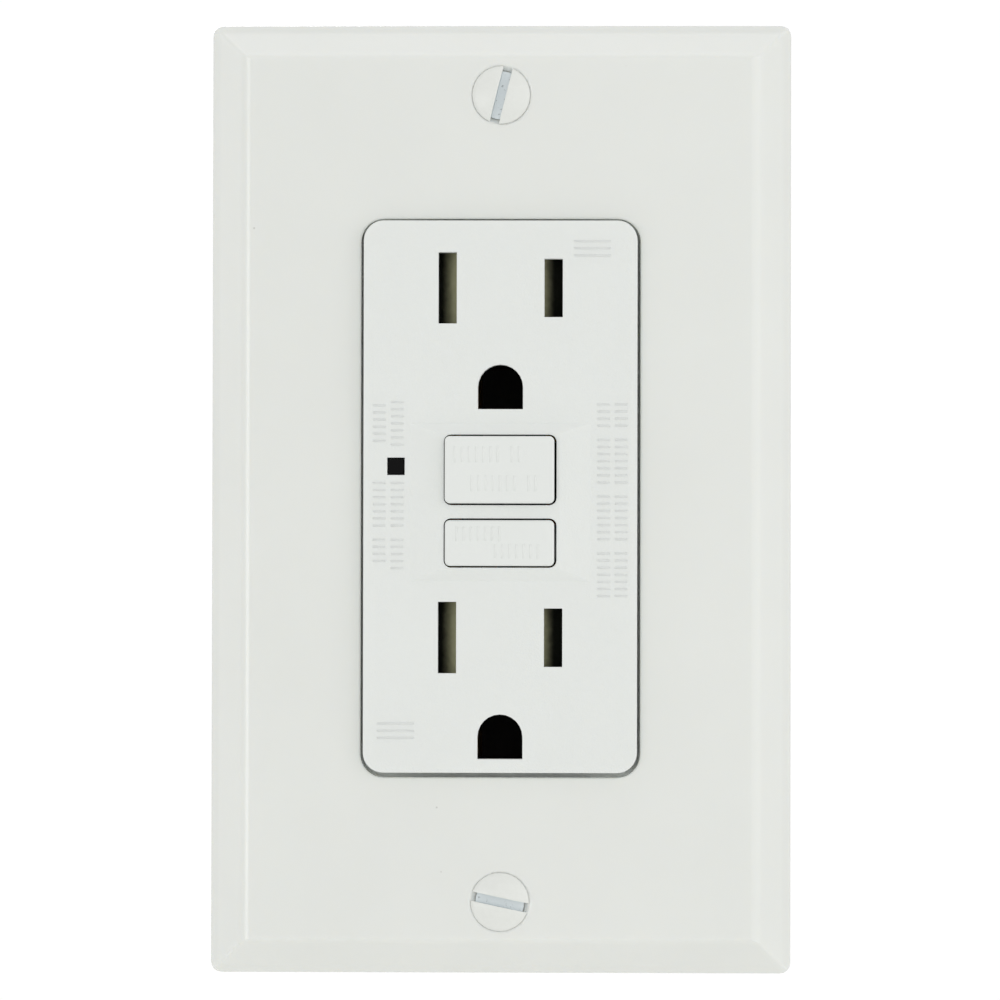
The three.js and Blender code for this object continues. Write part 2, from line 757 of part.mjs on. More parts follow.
function mountingStrap() {
  const ends = [strapFront, 0];
  const earStart = bodyHalfHeight + strap.earStart;
  const earCentre = (strap.earEnd + earStart) / 2;
  const ears = [1, -1].map((end) =>
    roundedBlock(strap.earWidth, strap.earEnd - earStart, strap.cornerRadius, ends, [0, end * earCentre]));
  const bridge = box(around(0, strap.width / 2), ends, [-earStart - 1, earStart + 1]);

  const bladeCuts = sockets.flatMap(({ z }) => [-1, 1].map((side) =>
    box([side * (slot.halfPitch - strap.bladeCutInner), side * (slot.halfPitch + strap.bladeCutOuter)],
      strapCut, around(z, strap.bladeCutHalfHeight))));
  const groundCuts = sockets.map(({ z }) => groundHole(z - slot.groundDrop, clearance.loose, strapCut));
  const windowTop = button.resetCentre + button.resetHeight / 2 + strap.windowEnd;
  const windowBottom = testCentre - button.testHeight / 2 - strap.windowEnd;
  const window = box(around(0, button.width / 2 + strap.windowSide), strapCut, [windowBottom, windowTop]);
  const plateHoles = [1, -1].map((end) =>
    rod("y", strap.holeDiameter / 2, strapCut, [0, (end * plate.screwSpacing) / 2], 8));
  const slotRadius = strap.holeDiameter / 2 - 0.01;
  const mountSlots = mountPlaces().map((place) =>
    prism(roundedRectangle(strap.mountSlotLength, strap.holeDiameter, slotRadius, place), "y", strapCut, 4));

  const tabOuter = groundTab.x;
  const tabInner = groundTab.x + strap.thickness;
  const tabZ = around(groundScrew.z, groundTab.halfHeight);
  const relief = box(
    [tabOuter - 2, tabInner + 0.01], strapCut, around(groundScrew.z, groundTab.halfHeight + clearance.loose));
  const tab = box([tabOuter, tabInner + 0.02], [strapFront, groundTab.depth], tabZ);
  const threaded = rod(
    "x", groundScrew.shankRadius + clearance.slide,
    [tabOuter - 1, tabInner + 1], [groundScrew.y, groundScrew.z], 8);
  const openings = [...bladeCuts, ...groundCuts, window, ...plateHoles, ...mountSlots, relief];
  return cut(join(cut(join(...ears, bridge), ...openings), tab), threaded);
}

function groundContact(z) {
  const centre = z - slot.groundDrop;
  const bottom = centre - groundClip.below;
  const leafInner = plug.pinDiameter / 2 + clearance.seat;
  const mouthInner = leafInner + groundClip.mouth;
  const baseY = [clearance.seat, clearance.seat + strip.leaf];
  const base = cut(
    box(around(0, groundClip.baseHalfWidth), baseY, [bottom, centre + groundClip.above]),
    box(around(0, mouthInner), [-1, 2], [bottom - 1, centre + groundClip.openTop]),
  );
  const leaves = [-1, 1].map((side) => {
    const section = polygon([
      [side * mouthInner, baseY[0]], [side * (mouthInner + strip.leaf), baseY[0]],
      [side * (leafInner + strip.leaf), groundClip.leafEnd], [side * leafInner, groundClip.leafEnd],
    ]);
    return prism(section, "z", [bottom, centre + groundClip.leafTop]);
  });
  return join(base, ...leaves);
}

function middleHousing() {
  const front = clearance.seat;
  const block = box(around(0, core.width / 2), [front, coreBack], around(0, coreHalfHeight));
  const footprint = box(around(0, core.width / 2), [coreBack - 1, 40], around(0, coreHalfHeight));
  const wells = sockets.flatMap(({ z }) => [-1, 1].map((side) =>
    box([side * core.wellInner, side * core.wellOuter], [-1, wellBottom], around(z, core.wellHalfHeight))));
  const groundWells = sockets.flatMap(({ z }) => {
    const centre = z - slot.groundDrop;
    const recessY = [-1, clearance.seat + strip.leaf + clearance.slide];
    const recessZ = [
      centre - groundClip.below - clearance.loose,
      centre + groundClip.above + clearance.slide,
    ];
    const recess = box(around(0, groundClip.baseHalfWidth + clearance.loose), recessY, recessZ);
    return [recess, pinWell(centre, 0, pinWellBottom)];
  });
  const cups = sockets.map(({ z }) =>
    pinWell(z - slot.groundDrop, core.cupWall, pinWellBottom + core.cupFloor).intersect(footprint));
  const window = box(around(0, core.windowHalfWidth), [-1, coreBack + 1], around(0, core.windowHalfHeight));
  const barZ = around(button.resetCentre, core.barHalfHeight);
  const barY = [core.barFront, core.barFront + core.barThickness];
  const bar = cut(
    box(around(0, core.windowHalfWidth + 0.1), barY, barZ),
    rod("y", pin.radius + clearance.loose, [0, 20], [0, button.resetCentre], 8),
  );
  const lensNotch = box(
    [lens.x - lens.notchOut, lens.x + lens.notchIn], [-1, coreBack + 1],
    around(lens.z, lens.notchHalfHeight));
  const channels = [-1, 1].flatMap((side) => railChannel(side));
  return cut(join(cut(block, ...wells, window), bar, ...cups), lensNotch, ...groundWells, ...channels);
}

// Space for a ground pin and the leaves that grip it, wider all round by the margin.
function pinWell(centreZ, margin, bottom) {
  const leafOuter = plug.pinDiameter / 2 + clearance.seat + groundClip.mouth + strip.leaf;
  const halfWidth = leafOuter + clearance.slide + margin;
  return box(around(0, halfWidth), [-1, bottom], around(centreZ, plug.pinDiameter / 2 + 0.5 + margin));
}

// Space in the middle housing for one contact rail, open at the back, with the slots its clips pass through.
function railChannel(side) {
  const gap = clearance.slide;
  const inner = side * (strip.railInner - gap);
  const outer = side * (strip.railInner + strip.thickness + gap);
  const [top, bottom] = railEnds();
  const rail = box([inner, outer], [strip.railFront - gap, coreBack + 1], [bottom - gap, top + gap]);
  const clips = sockets.map(({ z }) =>
    box([side * (core.wellOuter - 0.5), outer], [strip.railFront - gap, coreBack + 1], clipTie(z, gap)));
  const tabZ = around(contact.centreZ + contact.tabRise, strip.width / 2 + gap);
  const tab = box([side * (core.windowHalfWidth - 0.5), outer], [tabFront - gap, coreBack + 1], tabZ);
  return [rail, ...clips, tab];
}

// Height range of the tie that joins the two leaves of a clip to its rail.
function clipTie(z, gap = 0) {
  const bottom = z + plug.bladeWidth / 2 + strip.clipGap;
  return [bottom - gap, bottom + strip.leaf + gap];
}

function railEnds() {
  return [clipTie(sockets[0].z)[1], clipTie(sockets[1].z)[0]];
}

function rearHousing() {
  const outside = roundedBlock(body.width, 2 * bodyHalfHeight, body.cornerRadius, [rearFront, body.depth]);
  const inside = roundedBlock(
    body.width - 2 * body.wall, 2 * (bodyHalfHeight - body.wall), 1, [rearFront - 1, floorFront]);
  const tongues = [-1, 1].map((end) =>
    box(around(0, strap.width / 2), [clearance.loose, rearFront + 1],
      [end * (bodyHalfHeight - body.wall), end * bodyHalfHeight]));
  const bosses = caseScrewPlaces().map((place) =>
    rod("y", caseScrew.boss, [rearFront, floorFront + 0.5], place, 6));
  const postZ = coreHalfHeight - post.inset;
  const posts = [[-post.x, postZ], [post.x, postZ], [-post.x, -postZ], [post.x, -postZ]].map((place) =>
    rod("y", post.radius, [boardBack + clearance.seat, floorFront + 0.5], place, 4));
  const shell = join(cut(outside, inside), ...tongues, ...bosses, ...posts);

  const windowZ = terminal.bracketHalfHeight + clearance.loose;
  const windowY = [terminal.bracketFront - 0.1, terminal.screwY + terminal.headRadius + 1.1];
  const windows = [-1, 1].flatMap((side) => [-1, 1].map((end) =>
    box([side * (body.width / 2 - body.wall - 1), side * 30], windowY, around(end * terminal.z, windowZ))));
  const screwHoles = caseScrewPlaces().flatMap((place) => [
    rod("y", caseScrew.shankRadius + clearance.loose, [-1, body.depth + 1], place, 6),
    rod("y", caseScrew.headRadius + clearance.loose, caseHeadSpan(1), place, 8),
  ]);
  const holeX = wireGapCentre();
  const wireHoles = [-1, 1].flatMap((side) => [-1, 1].flatMap((end) => [-1, 1].map((row) =>
    rod("y", terminal.wireHoleRadius, [floorFront - 1, body.depth + 1],
      [side * holeX, end * terminal.z + row * terminal.wireHoleOffset], 5))));
  return cut(shell, ...windows, ...screwHoles, ...wireHoles);
}

function caseHeadSpan(extra) {
  return [body.depth - caseScrew.headHeight - 0.2, body.depth - 0.2 + extra];
}

function caseScrewSolid([x, z]) {
  const [headFront, headBack] = caseHeadSpan(0);
  const tip = flangeFront + 1.2;
  const profile = [
    [0, tip], [0.6, tip], [caseScrew.shankRadius, tip + 0.8], [caseScrew.shankRadius, headFront],
    [caseScrew.headRadius, headFront], [caseScrew.headRadius, headBack - 0.5],
    [caseScrew.headRadius - 0.6, headBack],
    [0, headBack],
  ];
  const recess = join(
    box(around(x, 1.5), [headBack - 1, headBack + 1], around(z, 0.35)),
    box(around(x, 0.35), [headBack - 1, headBack + 1], around(z, 1.5)),
  );
  return cut(turned(profile, "y", [x, 0, z], 16), recess);
}

// Box-mounting screw: pan head on the strap ear, shank through the ear into the wall box.
function mountScrewSolid([x, z]) {
  const seat = strapFront - clearance.seat;
  const front = seat - mountScrew.headHeight;
  const profile = [
    [0, front], [mountScrew.headRadius - 0.9, front], [mountScrew.headRadius, front + 0.8],
    [mountScrew.headRadius, seat], [mountScrew.shankRadius, seat],
    [mountScrew.shankRadius, mountScrew.end - 1],
    [0.9, mountScrew.end], [0, mountScrew.end],
  ];
  const slotCut = driverSlotCut(x, front - 0.3, z, mountScrew.headRadius, Math.PI / 2);
  return cut(turned(profile, "y", [x, 0, z], 20), slotCut);
}

function screwRetainer([x, z]) {
  const ends = [clearance.loose, clearance.loose + retainer.thickness];
  const washer = box(around(x, retainer.width / 2), ends, around(z, retainer.width / 2));
  return cut(washer, rod("y", mountScrew.shankRadius + clearance.slide, [-1, 3], [x, z], 8));
}

function groundScrewSolid() {
  const seat = groundTab.x - clearance.seat;
  const centre = [groundScrew.y, groundScrew.z];
  const hexagon = [0, 1, 2, 3, 4, 5].map((i) => {
    const angle = (Math.PI * i) / 3;
    return [
      groundScrew.y + groundScrew.hexRadius * Math.cos(angle),
      groundScrew.z + groundScrew.hexRadius * Math.sin(angle),
    ];
  });
  const head = prism(polygon(hexagon), "x", [seat - groundScrew.headHeight, seat]);
  const shank = rod("x", groundScrew.shankRadius, [seat - 0.5, seat + groundScrew.length], centre, 8);
  const slotCut = box(
    [seat - groundScrew.headHeight - 1, seat - groundScrew.headHeight + 1.1], around(groundScrew.y, 6),
    around(groundScrew.z, terminal.slotWidth / 2));
  return cut(join(head, shank), slotCut);
}

// ---- terminals and contacts -------------------------------------------------------

function clampInner() {
  return terminal.bracketInner - terminal.wireGap - terminal.clampThickness;
}

function wireGapCentre() {
  return terminal.bracketInner - terminal.wireGap / 2;
}

function terminalScrew(side, z) {
  const centre = [terminal.screwY, z];
  const seat = terminal.bracketInner + strip.thickness + 0.1;
  const crown = seat + terminal.headHeight;
  const head = rod("x", terminal.headRadius, [side * seat, side * crown], centre, 10);
  const shank = rod("x", terminal.shankRadius, [side * (clampInner() - 0.6), side * (seat + 0.5)], centre, 8);
  const slotCut = box(
    [side * (crown - terminal.slotDepth), side * (crown + 1)], around(terminal.screwY, 6),
    around(z, terminal.slotWidth / 2));
  return cut(join(head, shank), slotCut);
}

// Clamp plate that the screw draws outwards against the wires.
function clampPlate(side, z) {
  const inner = clampInner();
  const outer = inner + terminal.clampThickness;
  const block = box(
    [side * inner, side * outer], around(terminal.screwY, terminal.clampHalfDepth),
    around(z, terminal.clampHalfHeight));
  const hole = rod(
    "x", terminal.shankRadius + clearance.slide,
    [side * (inner - 1), side * (outer + 1)], [terminal.screwY, z], 8);
  const grooves = [-1, 1].map((row) => box(
    [side * (outer - terminal.grooveDepth), side * (outer + 1)], [0, 20],
    around(z + row * terminal.wireHoleOffset, terminal.grooveHalfWidth)));
  return cut(block, hole, ...grooves);
}

// Bracket that the terminal screw passes through, with the strip that leads inwards from its back.
function terminalBracket(side, z, stripInner) {
  const inner = terminal.bracketInner;
  const outer = inner + strip.thickness;
  const plateForm = box(
    [side * inner, side * outer], [terminal.bracketFront, terminal.bracketBack - 2],
    around(z, terminal.bracketHalfHeight));
  const neck = box(
    [side * inner, side * outer], [terminal.bracketBack - 3, terminal.bracketBack],
    around(z, strip.width / 2));
  const lead = box(
    [side * stripInner, side * outer], [terminal.bracketBack - strip.thickness, terminal.bracketBack],
    around(z, strip.width / 2));
  const hole = rod(
    "x", terminal.shankRadius + clearance.loose,
    [side * (inner - 1), side * (outer + 1)], [terminal.screwY, z], 8);
  return cut(join(plateForm, neck, lead), hole);
}

function contactButton(side, end, ends) {
  return rod("y", contact.radius, ends, [side * contact.centreX, end * contact.centreZ], 6);
}

// Rail on the load side: two blade clips, the load terminal and one fixed contact, all in one strip.
function loadContactBar(side) {
  const inner = side * strip.railInner;
  const outer = side * (strip.railInner + strip.thickness);
  const [top, bottom] = railEnds();
  const rail = box([inner, outer], [strip.railFront, strip.railBack], [bottom, top]);
  const clips = sockets.flatMap(({ z }) => bladeClip(side, z));
  const down = box(
    [inner, outer], [strip.railFront, terminal.bracketBack], around(terminal.z, strip.width / 2));
  const tabZ = around(contact.centreZ + contact.tabRise, strip.width / 2);
  const tabDown = box([inner, outer], [strip.railFront, tabBack], tabZ);
  const tab = box([side * (contact.centreX - contact.halfWidth), outer], [tabFront, tabBack], tabZ);
  const button = contactButton(side, 1, [tabBack - 0.2, fixedButtonBack]);
  return join(rail, ...clips, down, tabDown, tab, button, terminalBracket(side, terminal.z, strip.railInner));
}

function bladeClip(side, z) {
  const innerGap = plug.bladeThickness / 2;
  const leafZ = [z - plug.bladeWidth / 2, clipTie(z)[1]];
  const leaves = [-1, 1].map((hand) => {
    const near = side * slot.halfPitch + hand * innerGap;
    return box([near, near + hand * strip.leaf], [1, strip.railBack], leafZ);
  });
  const tieInner = slot.halfPitch - innerGap - strip.leaf;
  const tie = box(
    [side * tieInner, side * (strip.railInner + 0.1)], [strip.railFront, strip.railBack], clipTie(z));
  return [...leaves, tie];
}

// Line conductor: terminal, strip through the transformer bore, and the other fixed contact.
function lineTerminal(side) {
  const z = -terminal.z;
  const half = strip.width / 2;
  const upperY = [coreBack + clearance.loose, coreBack + clearance.loose + strip.thickness];
  const turn = [side * lineStrip.turnX, side * (lineStrip.turnX + strip.thickness)];
  const boreZ = [transformer.z - strip.thickness / 2, transformer.z + strip.thickness / 2];
  const boreX = [side * lineStrip.inner, side * (lineStrip.inner + lineStrip.width)];
  const backY = [boardFront - clearance.loose - lineStrip.thickness, boardFront - clearance.loose];
  const contactX = around(side * contact.centreX, contact.halfWidth);
  const riserZ = [lineStrip.riserZ, lineStrip.riserZ + strip.thickness];
  const bracket = terminalBracket(side, z, lineStrip.turnX);
  const rise = box(turn, [upperY[0], terminal.bracketBack], around(z, half));
  const inward = box([side * lineStrip.inner, turn[1]], upperY, [z - half, boreZ[1]]);
  const drop = box(boreX, [upperY[0], backY[1]], boreZ);
  const run = box(boreX, backY, [boreZ[0], riserZ[1]]);
  const cross = box(
    [side * lineStrip.inner, side * (contact.centreX + contact.halfWidth)], backY,
    [riserZ[0] - lineStrip.crossHeight, riserZ[1]]);
  const riser = box(contactX, [tabFront, backY[1]], riserZ);
  const tab = box(contactX, [tabFront, tabBack], [riserZ[0], -contact.centreZ + contact.radius + 0.2]);
  const button = contactButton(side, -1, [tabBack - 0.2, fixedButtonBack]);
  return join(bracket, rise, inward, drop, run, cross, riser, tab, button);
}

function bridgeContact(side) {
  const half = contact.centreZ + contact.radius + 0.1;
  const barX = around(side * contact.centreX, contact.halfWidth);
  const bar = box(barX, [bridgeFront, bridgeBack], [-half, half]);
  const buttons = [-1, 1].map((end) => contactButton(side, end, [movingButtonFront, bridgeFront + 0.2]));
  return join(bar, ...buttons);
}

function contactCarriage() {
  const block = box(
    around(0, carriage.halfWidth), [carriageFront, carriageBack], [carriage.bottom, carriage.top]);
  const arms = box(
    around(0, carriage.armHalfWidth), [armFront, carriageBack - carriage.armStep],
    around(0, carriage.armHalfHeight));
  const bore = rod("y", pin.radius + clearance.loose, [0, 30], [0, button.resetCentre], 8);
  return cut(join(block, arms), bore);
}

// Sliding latch under the carriage: its slot grips the groove of the reset pin.
function latchPlate() {
  const sheet = box([-latch.halfWidth, latch.halfWidth], [latchFront, latchBack], [latch.bottom, latch.top]);
  const tabFrontY = Math.min(solenoidY - solenoid.plungerRadius - 0.2, latchFront);
  const tabBackY = Math.max(solenoidY + solenoid.plungerRadius, latchBack);
  const tabZ = [latch.top - latch.thickness, latch.top];
  const tab = box(around(0, latch.halfWidth), [tabFrontY, tabBackY], tabZ);
  const gripRadius = pin.radius + clearance.loose;
  const keyhole = join(
    rod("y", gripRadius, [0, 30], [0, button.resetCentre], 8),
    box(around(0, gripRadius), [0, 30], [button.resetCentre, button.resetCentre + solenoid.plungerTravel]),
    rod("y", gripRadius, [0, 30], [0, button.resetCentre + solenoid.plungerTravel], 8),
  );
  return cut(join(sheet, tab), keyhole);
}

// Height range of the foot of the test contact blade.
function testFootZ(gap) {
  return around(testCentre - testBlade.footDrop, testBlade.footHalfHeight + gap);
}

function testContactSpring() {
  const footX = around(testBlade.footX, testBlade.footHalfWidth);
  const blade = box(
    [footX[0], testBlade.reach], [leafFront, leafFront + testBlade.thickness],
    around(testCentre, testBlade.halfHeight));
  const foot = box(footX, [leafFront, boardBack + 0.5], testFootZ(0));
  return join(blade, foot);
}

// ---- circuit board and what stands on it --------------------------------------------

function circuitBoard() {
  const halfHeight = bodyHalfHeight - body.wall - board.endGap;
  const ends = [boardFront, boardBack];
  const through = [boardFront - 1, boardBack + 1];
  const neck = box(around(0, board.neckHalfWidth), ends, around(0, halfHeight));
  const wings = box(around(0, board.halfWidth), ends, around(0, board.wingHalfHeight));
  const leadHoles = [...varistorLeads(), ...capacitorLeads(), ...thyristorLeads()].map((place) =>
    rod("y", lead.holeRadius, through, place, 4));
  const pinHole = rod("y", pin.radius + clearance.loose, through, [0, button.resetCentre], 8);
  const footHalf = testBlade.footHalfWidth + clearance.loose;
  const leafHole = box(around(testBlade.footX, footHalf), through, testFootZ(clearance.loose));
  return cut(join(neck, wings), ...leadHoles, pinHole, leafHole);
}

function varistorLeads() {
  return around(0, varistor.leadOffset).map((z) => [varistor.x, z]);
}

function capacitorLeads() {
  return around(capacitor.z, capacitor.leadOffset).map((z) => [capacitor.x, z]);
}

function thyristorLeads() {
  return [-1, 0, 1].map((place) => [thyristor.x + place * thyristor.leadPitch, thyristor.z]);
}

function leads(places, bodyBack) {
  return places.map((place) => rod("y", lead.radius, [bodyBack - 0.3, boardBack + lead.stub], place, 3));
}

function varistorSolid() {
  const centreY = boardFront - clearance.loose - varistor.radius;
  const body = rod("x", varistor.radius, around(varistor.x, varistor.thickness / 2), [centreY, 0], 10);
  return join(body, ...leads(varistorLeads(), centreY + varistor.radius - 1.2));
}

function filmCapacitor() {
  const back = boardFront - clearance.slide;
  const body = box(
    around(capacitor.x, capacitor.width / 2), [back - capacitor.height, back],
    around(capacitor.z, capacitor.length / 2));
  return join(body, ...leads(capacitorLeads(), back));
}

// Three-legged thyristor with a flat side, standing off the board on its legs.
function thyristorSolid() {
  const back = boardFront - thyristor.standoff;
  const ends = [back - thyristor.height, back];
  const body = cut(
    rod("y", thyristor.radius, ends, [thyristor.x, thyristor.z], 8),
    box(around(thyristor.x, 5), [0, 30], [thyristor.z + thyristor.flat, thyristor.z + 5]),
  );
  return join(body, ...leads(thyristorLeads(), back));
}

function statusLed() {
  const back = boardFront - clearance.seat;
  const { radius, height } = led;
  const shoulder = back - height + radius;
  const dome = [0, 30, 60].map((degrees) => {
    const angle = THREE.MathUtils.degToRad(degrees);
    return [radius * Math.sin(angle), shoulder - radius * Math.cos(angle)];
  });
  const rim = radius + led.flange;
  const rimFront = back - led.flangeHeight;
  const profile = [...dome, [radius, shoulder], [radius, rimFront], [rim, rimFront], [rim, back], [0, back]];
  return turned(profile, "y", [lens.x, 0, lens.z], 16);
}

function controllerChip() {
  const front = boardBack + clearance.seat;
  const bodyY = [front, front + chip.height];
  const body = box(around(chip.x, chip.width / 2), bodyY, around(chip.z, chip.length / 2));
  const legs = [-1.5, -0.5, 0.5, 1.5].map((place) =>
    box(
      around(chip.x, chip.leadSpan / 2), [front, front + 0.5],
      around(chip.z + place * chip.leadPitch, 0.2)));
  return join(body, ...legs);
}

// ---- trip solenoid and sensing transformers ---------------------------------------------

function solenoidBobbin() {
  const top = solenoid.bottom + solenoid.length;
  const cheek = (low) => box(
    around(0, solenoid.cheekHalfWidth), around(solenoidY, solenoid.cheekHalfDepth),
    [low, low + solenoid.cheek]);
  const tube = rod("z", solenoid.coreRadius, [solenoid.bottom, top], [0, solenoidY], 8);
  const bore = rod(
    "z", solenoid.plungerRadius + clearance.loose, [solenoid.bottom - 1, top + 1], [0, solenoidY], 8);
  return cut(join(cheek(solenoid.bottom), cheek(top - solenoid.cheek), tube), bore);
}

function ringSolid(axis, inner, outer, ends, centre, divisions) {
  const bore = rod(axis, inner, [ends[0] - 1, ends[1] + 1], centre, divisions);
  return cut(rod(axis, outer, ends, centre, divisions), bore);
}

function solenoidCoil() {
  const gap = clearance.seat;
  const top = solenoid.bottom + solenoid.length;
  const ends = [solenoid.bottom + solenoid.cheek + gap, top - solenoid.cheek - gap];
  return ringSolid("z", solenoid.coreRadius + 0.15, solenoid.coilRadius, ends, [0, solenoidY], 8);
}

function plungerCollar() {
  const spring = solenoid.bottom + solenoid.length + solenoid.springLength;
  return [spring, spring + 0.8];
}

function solenoidPlunger() {
  const [collarLow, collarHigh] = plungerCollar();
  const tip = latch.top + clearance.loose;
  const profile = [
    [0, tip], [0.9, tip], [solenoid.plungerRadius, tip + 0.7], [solenoid.plungerRadius, collarLow],
    [solenoid.collarRadius, collarLow], [solenoid.collarRadius, collarHigh], [0, collarHigh],
  ];
  return turned(profile, "z", [0, solenoidY, 0], 16);
}

function plungerSpring() {
  const low = solenoid.bottom + solenoid.length + 0.1;
  const ends = [low, plungerCollar()[0] - 0.1];
  return coilSpring("z", solenoid.springRadius, solenoid.springWire, ends, springs.turns, [0, solenoidY]);
}

function transformerSpan() {
  return [coreBack + clearance.loose + strip.thickness + 0.4, boardFront - 1.2];
}

// Round case with an annular trough, open at the back, for the two sensing transformers.
function transformerCase() {
  const [front, back] = transformerSpan();
  const { radius, bore, wall, z } = transformer;
  const ring = ringSolid("y", bore, radius, [front, back], [0, z], 10);
  return cut(ring, ringSolid("y", bore + wall, radius - wall, [front + wall, back + 1], [0, z], 10));
}

function transformerCoil(index) {
  const [front, back] = transformerSpan();
  const { radius, bore, wall, coilGap, z } = transformer;
  const start = front + wall;
  const pitch = (back - start) / 2;
  const ends = [start + index * pitch + 0.1, start + (index + 1) * pitch - 0.1];
  const inner = bore + wall + coilGap;
  const outer = radius - wall - coilGap;
  const round = 0.5;
  const profile = [
    [inner + round, ends[0]], [outer - round, ends[0]], [outer, ends[0] + round], [outer, ends[1] - round],
    [outer - round, ends[1]], [inner + round, ends[1]], [inner, ends[1] - round], [inner, ends[0] + round],
    [inner + round, ends[0]],
  ];
  return turned(profile, "y", [0, 0, z], 16);
}

// ---- assembly -----------------------------------------------------------------------

const receptacle = new THREE.Group();
const add = (name, form, look) => receptacle.add(piece(name, form, look));
const resetAt = [0, button.resetCentre];

add("wall_plate", wallPlate(), finish.plateWhite);
plateScrewPlaces().forEach((place, index) => {
  const end = ["top", "bottom"][index];
  const lean = THREE.MathUtils.degToRad(plateScrew.lean[index]);
  add(`plate_screw_${end}`, plateScrewSolid(place, lean), finish.paintedScrew);
});

add("front_cover", frontCover(), finish.faceWhite);
add("reset_button", resetButton(), finish.buttonWhite);
add("test_button", testButton(), finish.buttonWhite);
add("status_lens", statusLens(), finish.clearLens);
add("reset_pin", resetPin(), finish.zincSteel);
const resetSpringEnds = [resetBack + 0.1, core.barFront - clearance.seat];
add(
  "reset_spring",
  coilSpring("y", springs.resetRadius, springs.resetWire, resetSpringEnds, springs.turns, resetAt),
  finish.springSteel);
const carriageSpringEnds = [
  core.barFront + core.barThickness + clearance.seat,
  carriageFront - clearance.seat,
];
add(
  "carriage_spring",
  coilSpring("y", springs.carriageRadius, springs.carriageWire, carriageSpringEnds, springs.turns, resetAt),
  finish.springSteel);
add("test_contact_spring", testContactSpring(), finish.brass);

for (const { name, z } of sockets) {
  add(`${name}_shutter_left`, shutterHalf(-1, z), finish.greyPlastic);
  add(`${name}_shutter_right`, shutterHalf(1, z), finish.greyPlastic);
  add(`${name}_shutter_spring`, shutterSpring(z), finish.springSteel);
  add(`${name}_ground_contact`, groundContact(z), finish.brass);
}

add("mounting_strap", mountingStrap(), finish.zincSteel);
add("middle_housing", middleHousing(), finish.blackPlastic);
add("rear_housing", rearHousing(), finish.rearPlastic);
mountPlaces().forEach((place, index) => {
  const end = ["top", "bottom"][index];
  add(`mounting_screw_${end}`, mountScrewSolid(place), finish.zincSteel);
  add(`screw_retainer_${end}`, screwRetainer(place), finish.fibre);
});
caseScrewPlaces().forEach((place, index) => {
  add(`housing_screw_${index + 1}`, caseScrewSolid(place), finish.zincSteel);
});
add("ground_screw", groundScrewSolid(), finish.greenSteel);

for (const [side, pole] of [[-1, "neutral"], [1, "hot"]]) {
  const look = pole === "hot" ? finish.brass : finish.silver;
  for (const [circuit, z] of [["line", -terminal.z], ["load", terminal.z]]) {
    add(`${circuit}_${pole}_screw`, terminalScrew(side, z), look);
    add(`${circuit}_${pole}_clamp`, clampPlate(side, z), look);
  }
  add(`line_${pole}_terminal`, lineTerminal(side), finish.brass);
  add(`load_${pole}_contact_bar`, loadContactBar(side), finish.brass);
  add(`${pole}_bridge_contact`, bridgeContact(side), finish.copper);
}
add("contact_carriage", contactCarriage(), finish.blackPlastic);
add("latch_plate", latchPlate(), finish.zincSteel);

add("circuit_board", circuitBoard(), finish.laminate);
add("solenoid_bobbin", solenoidBobbin(), finish.rearPlastic);
add("solenoid_coil", solenoidCoil(), finish.copper);
add("solenoid_plunger", solenoidPlunger(), finish.zincSteel);
add("plunger_spring", plungerSpring(), finish.springSteel);
add("transformer_case", transformerCase(), finish.blackPlastic);
add("sense_coil", transformerCoil(0), finish.copper);
add("neutral_coil", transformerCoil(1), finish.copper);
add("varistor", varistorSolid(), finish.bluePolymer);
add("film_capacitor", filmCapacitor(), finish.fibre);
add("controller_chip", controllerChip(), finish.blackPlastic);
add("thyristor", thyristorSolid(), finish.blackPlastic);
add("status_led", statusLed(), finish.clearLens);

export default receptacle;
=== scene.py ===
"""Finished model of a ground-fault receptacle with its wall plate.

Metres, in the part's own frame: X to the right, Y into the wall, Z up, wall surface at Y = 0.
"""

import bmesh
import bpy
import json
from math import cos, pi, radians, sin
from mathutils import Matrix, Vector

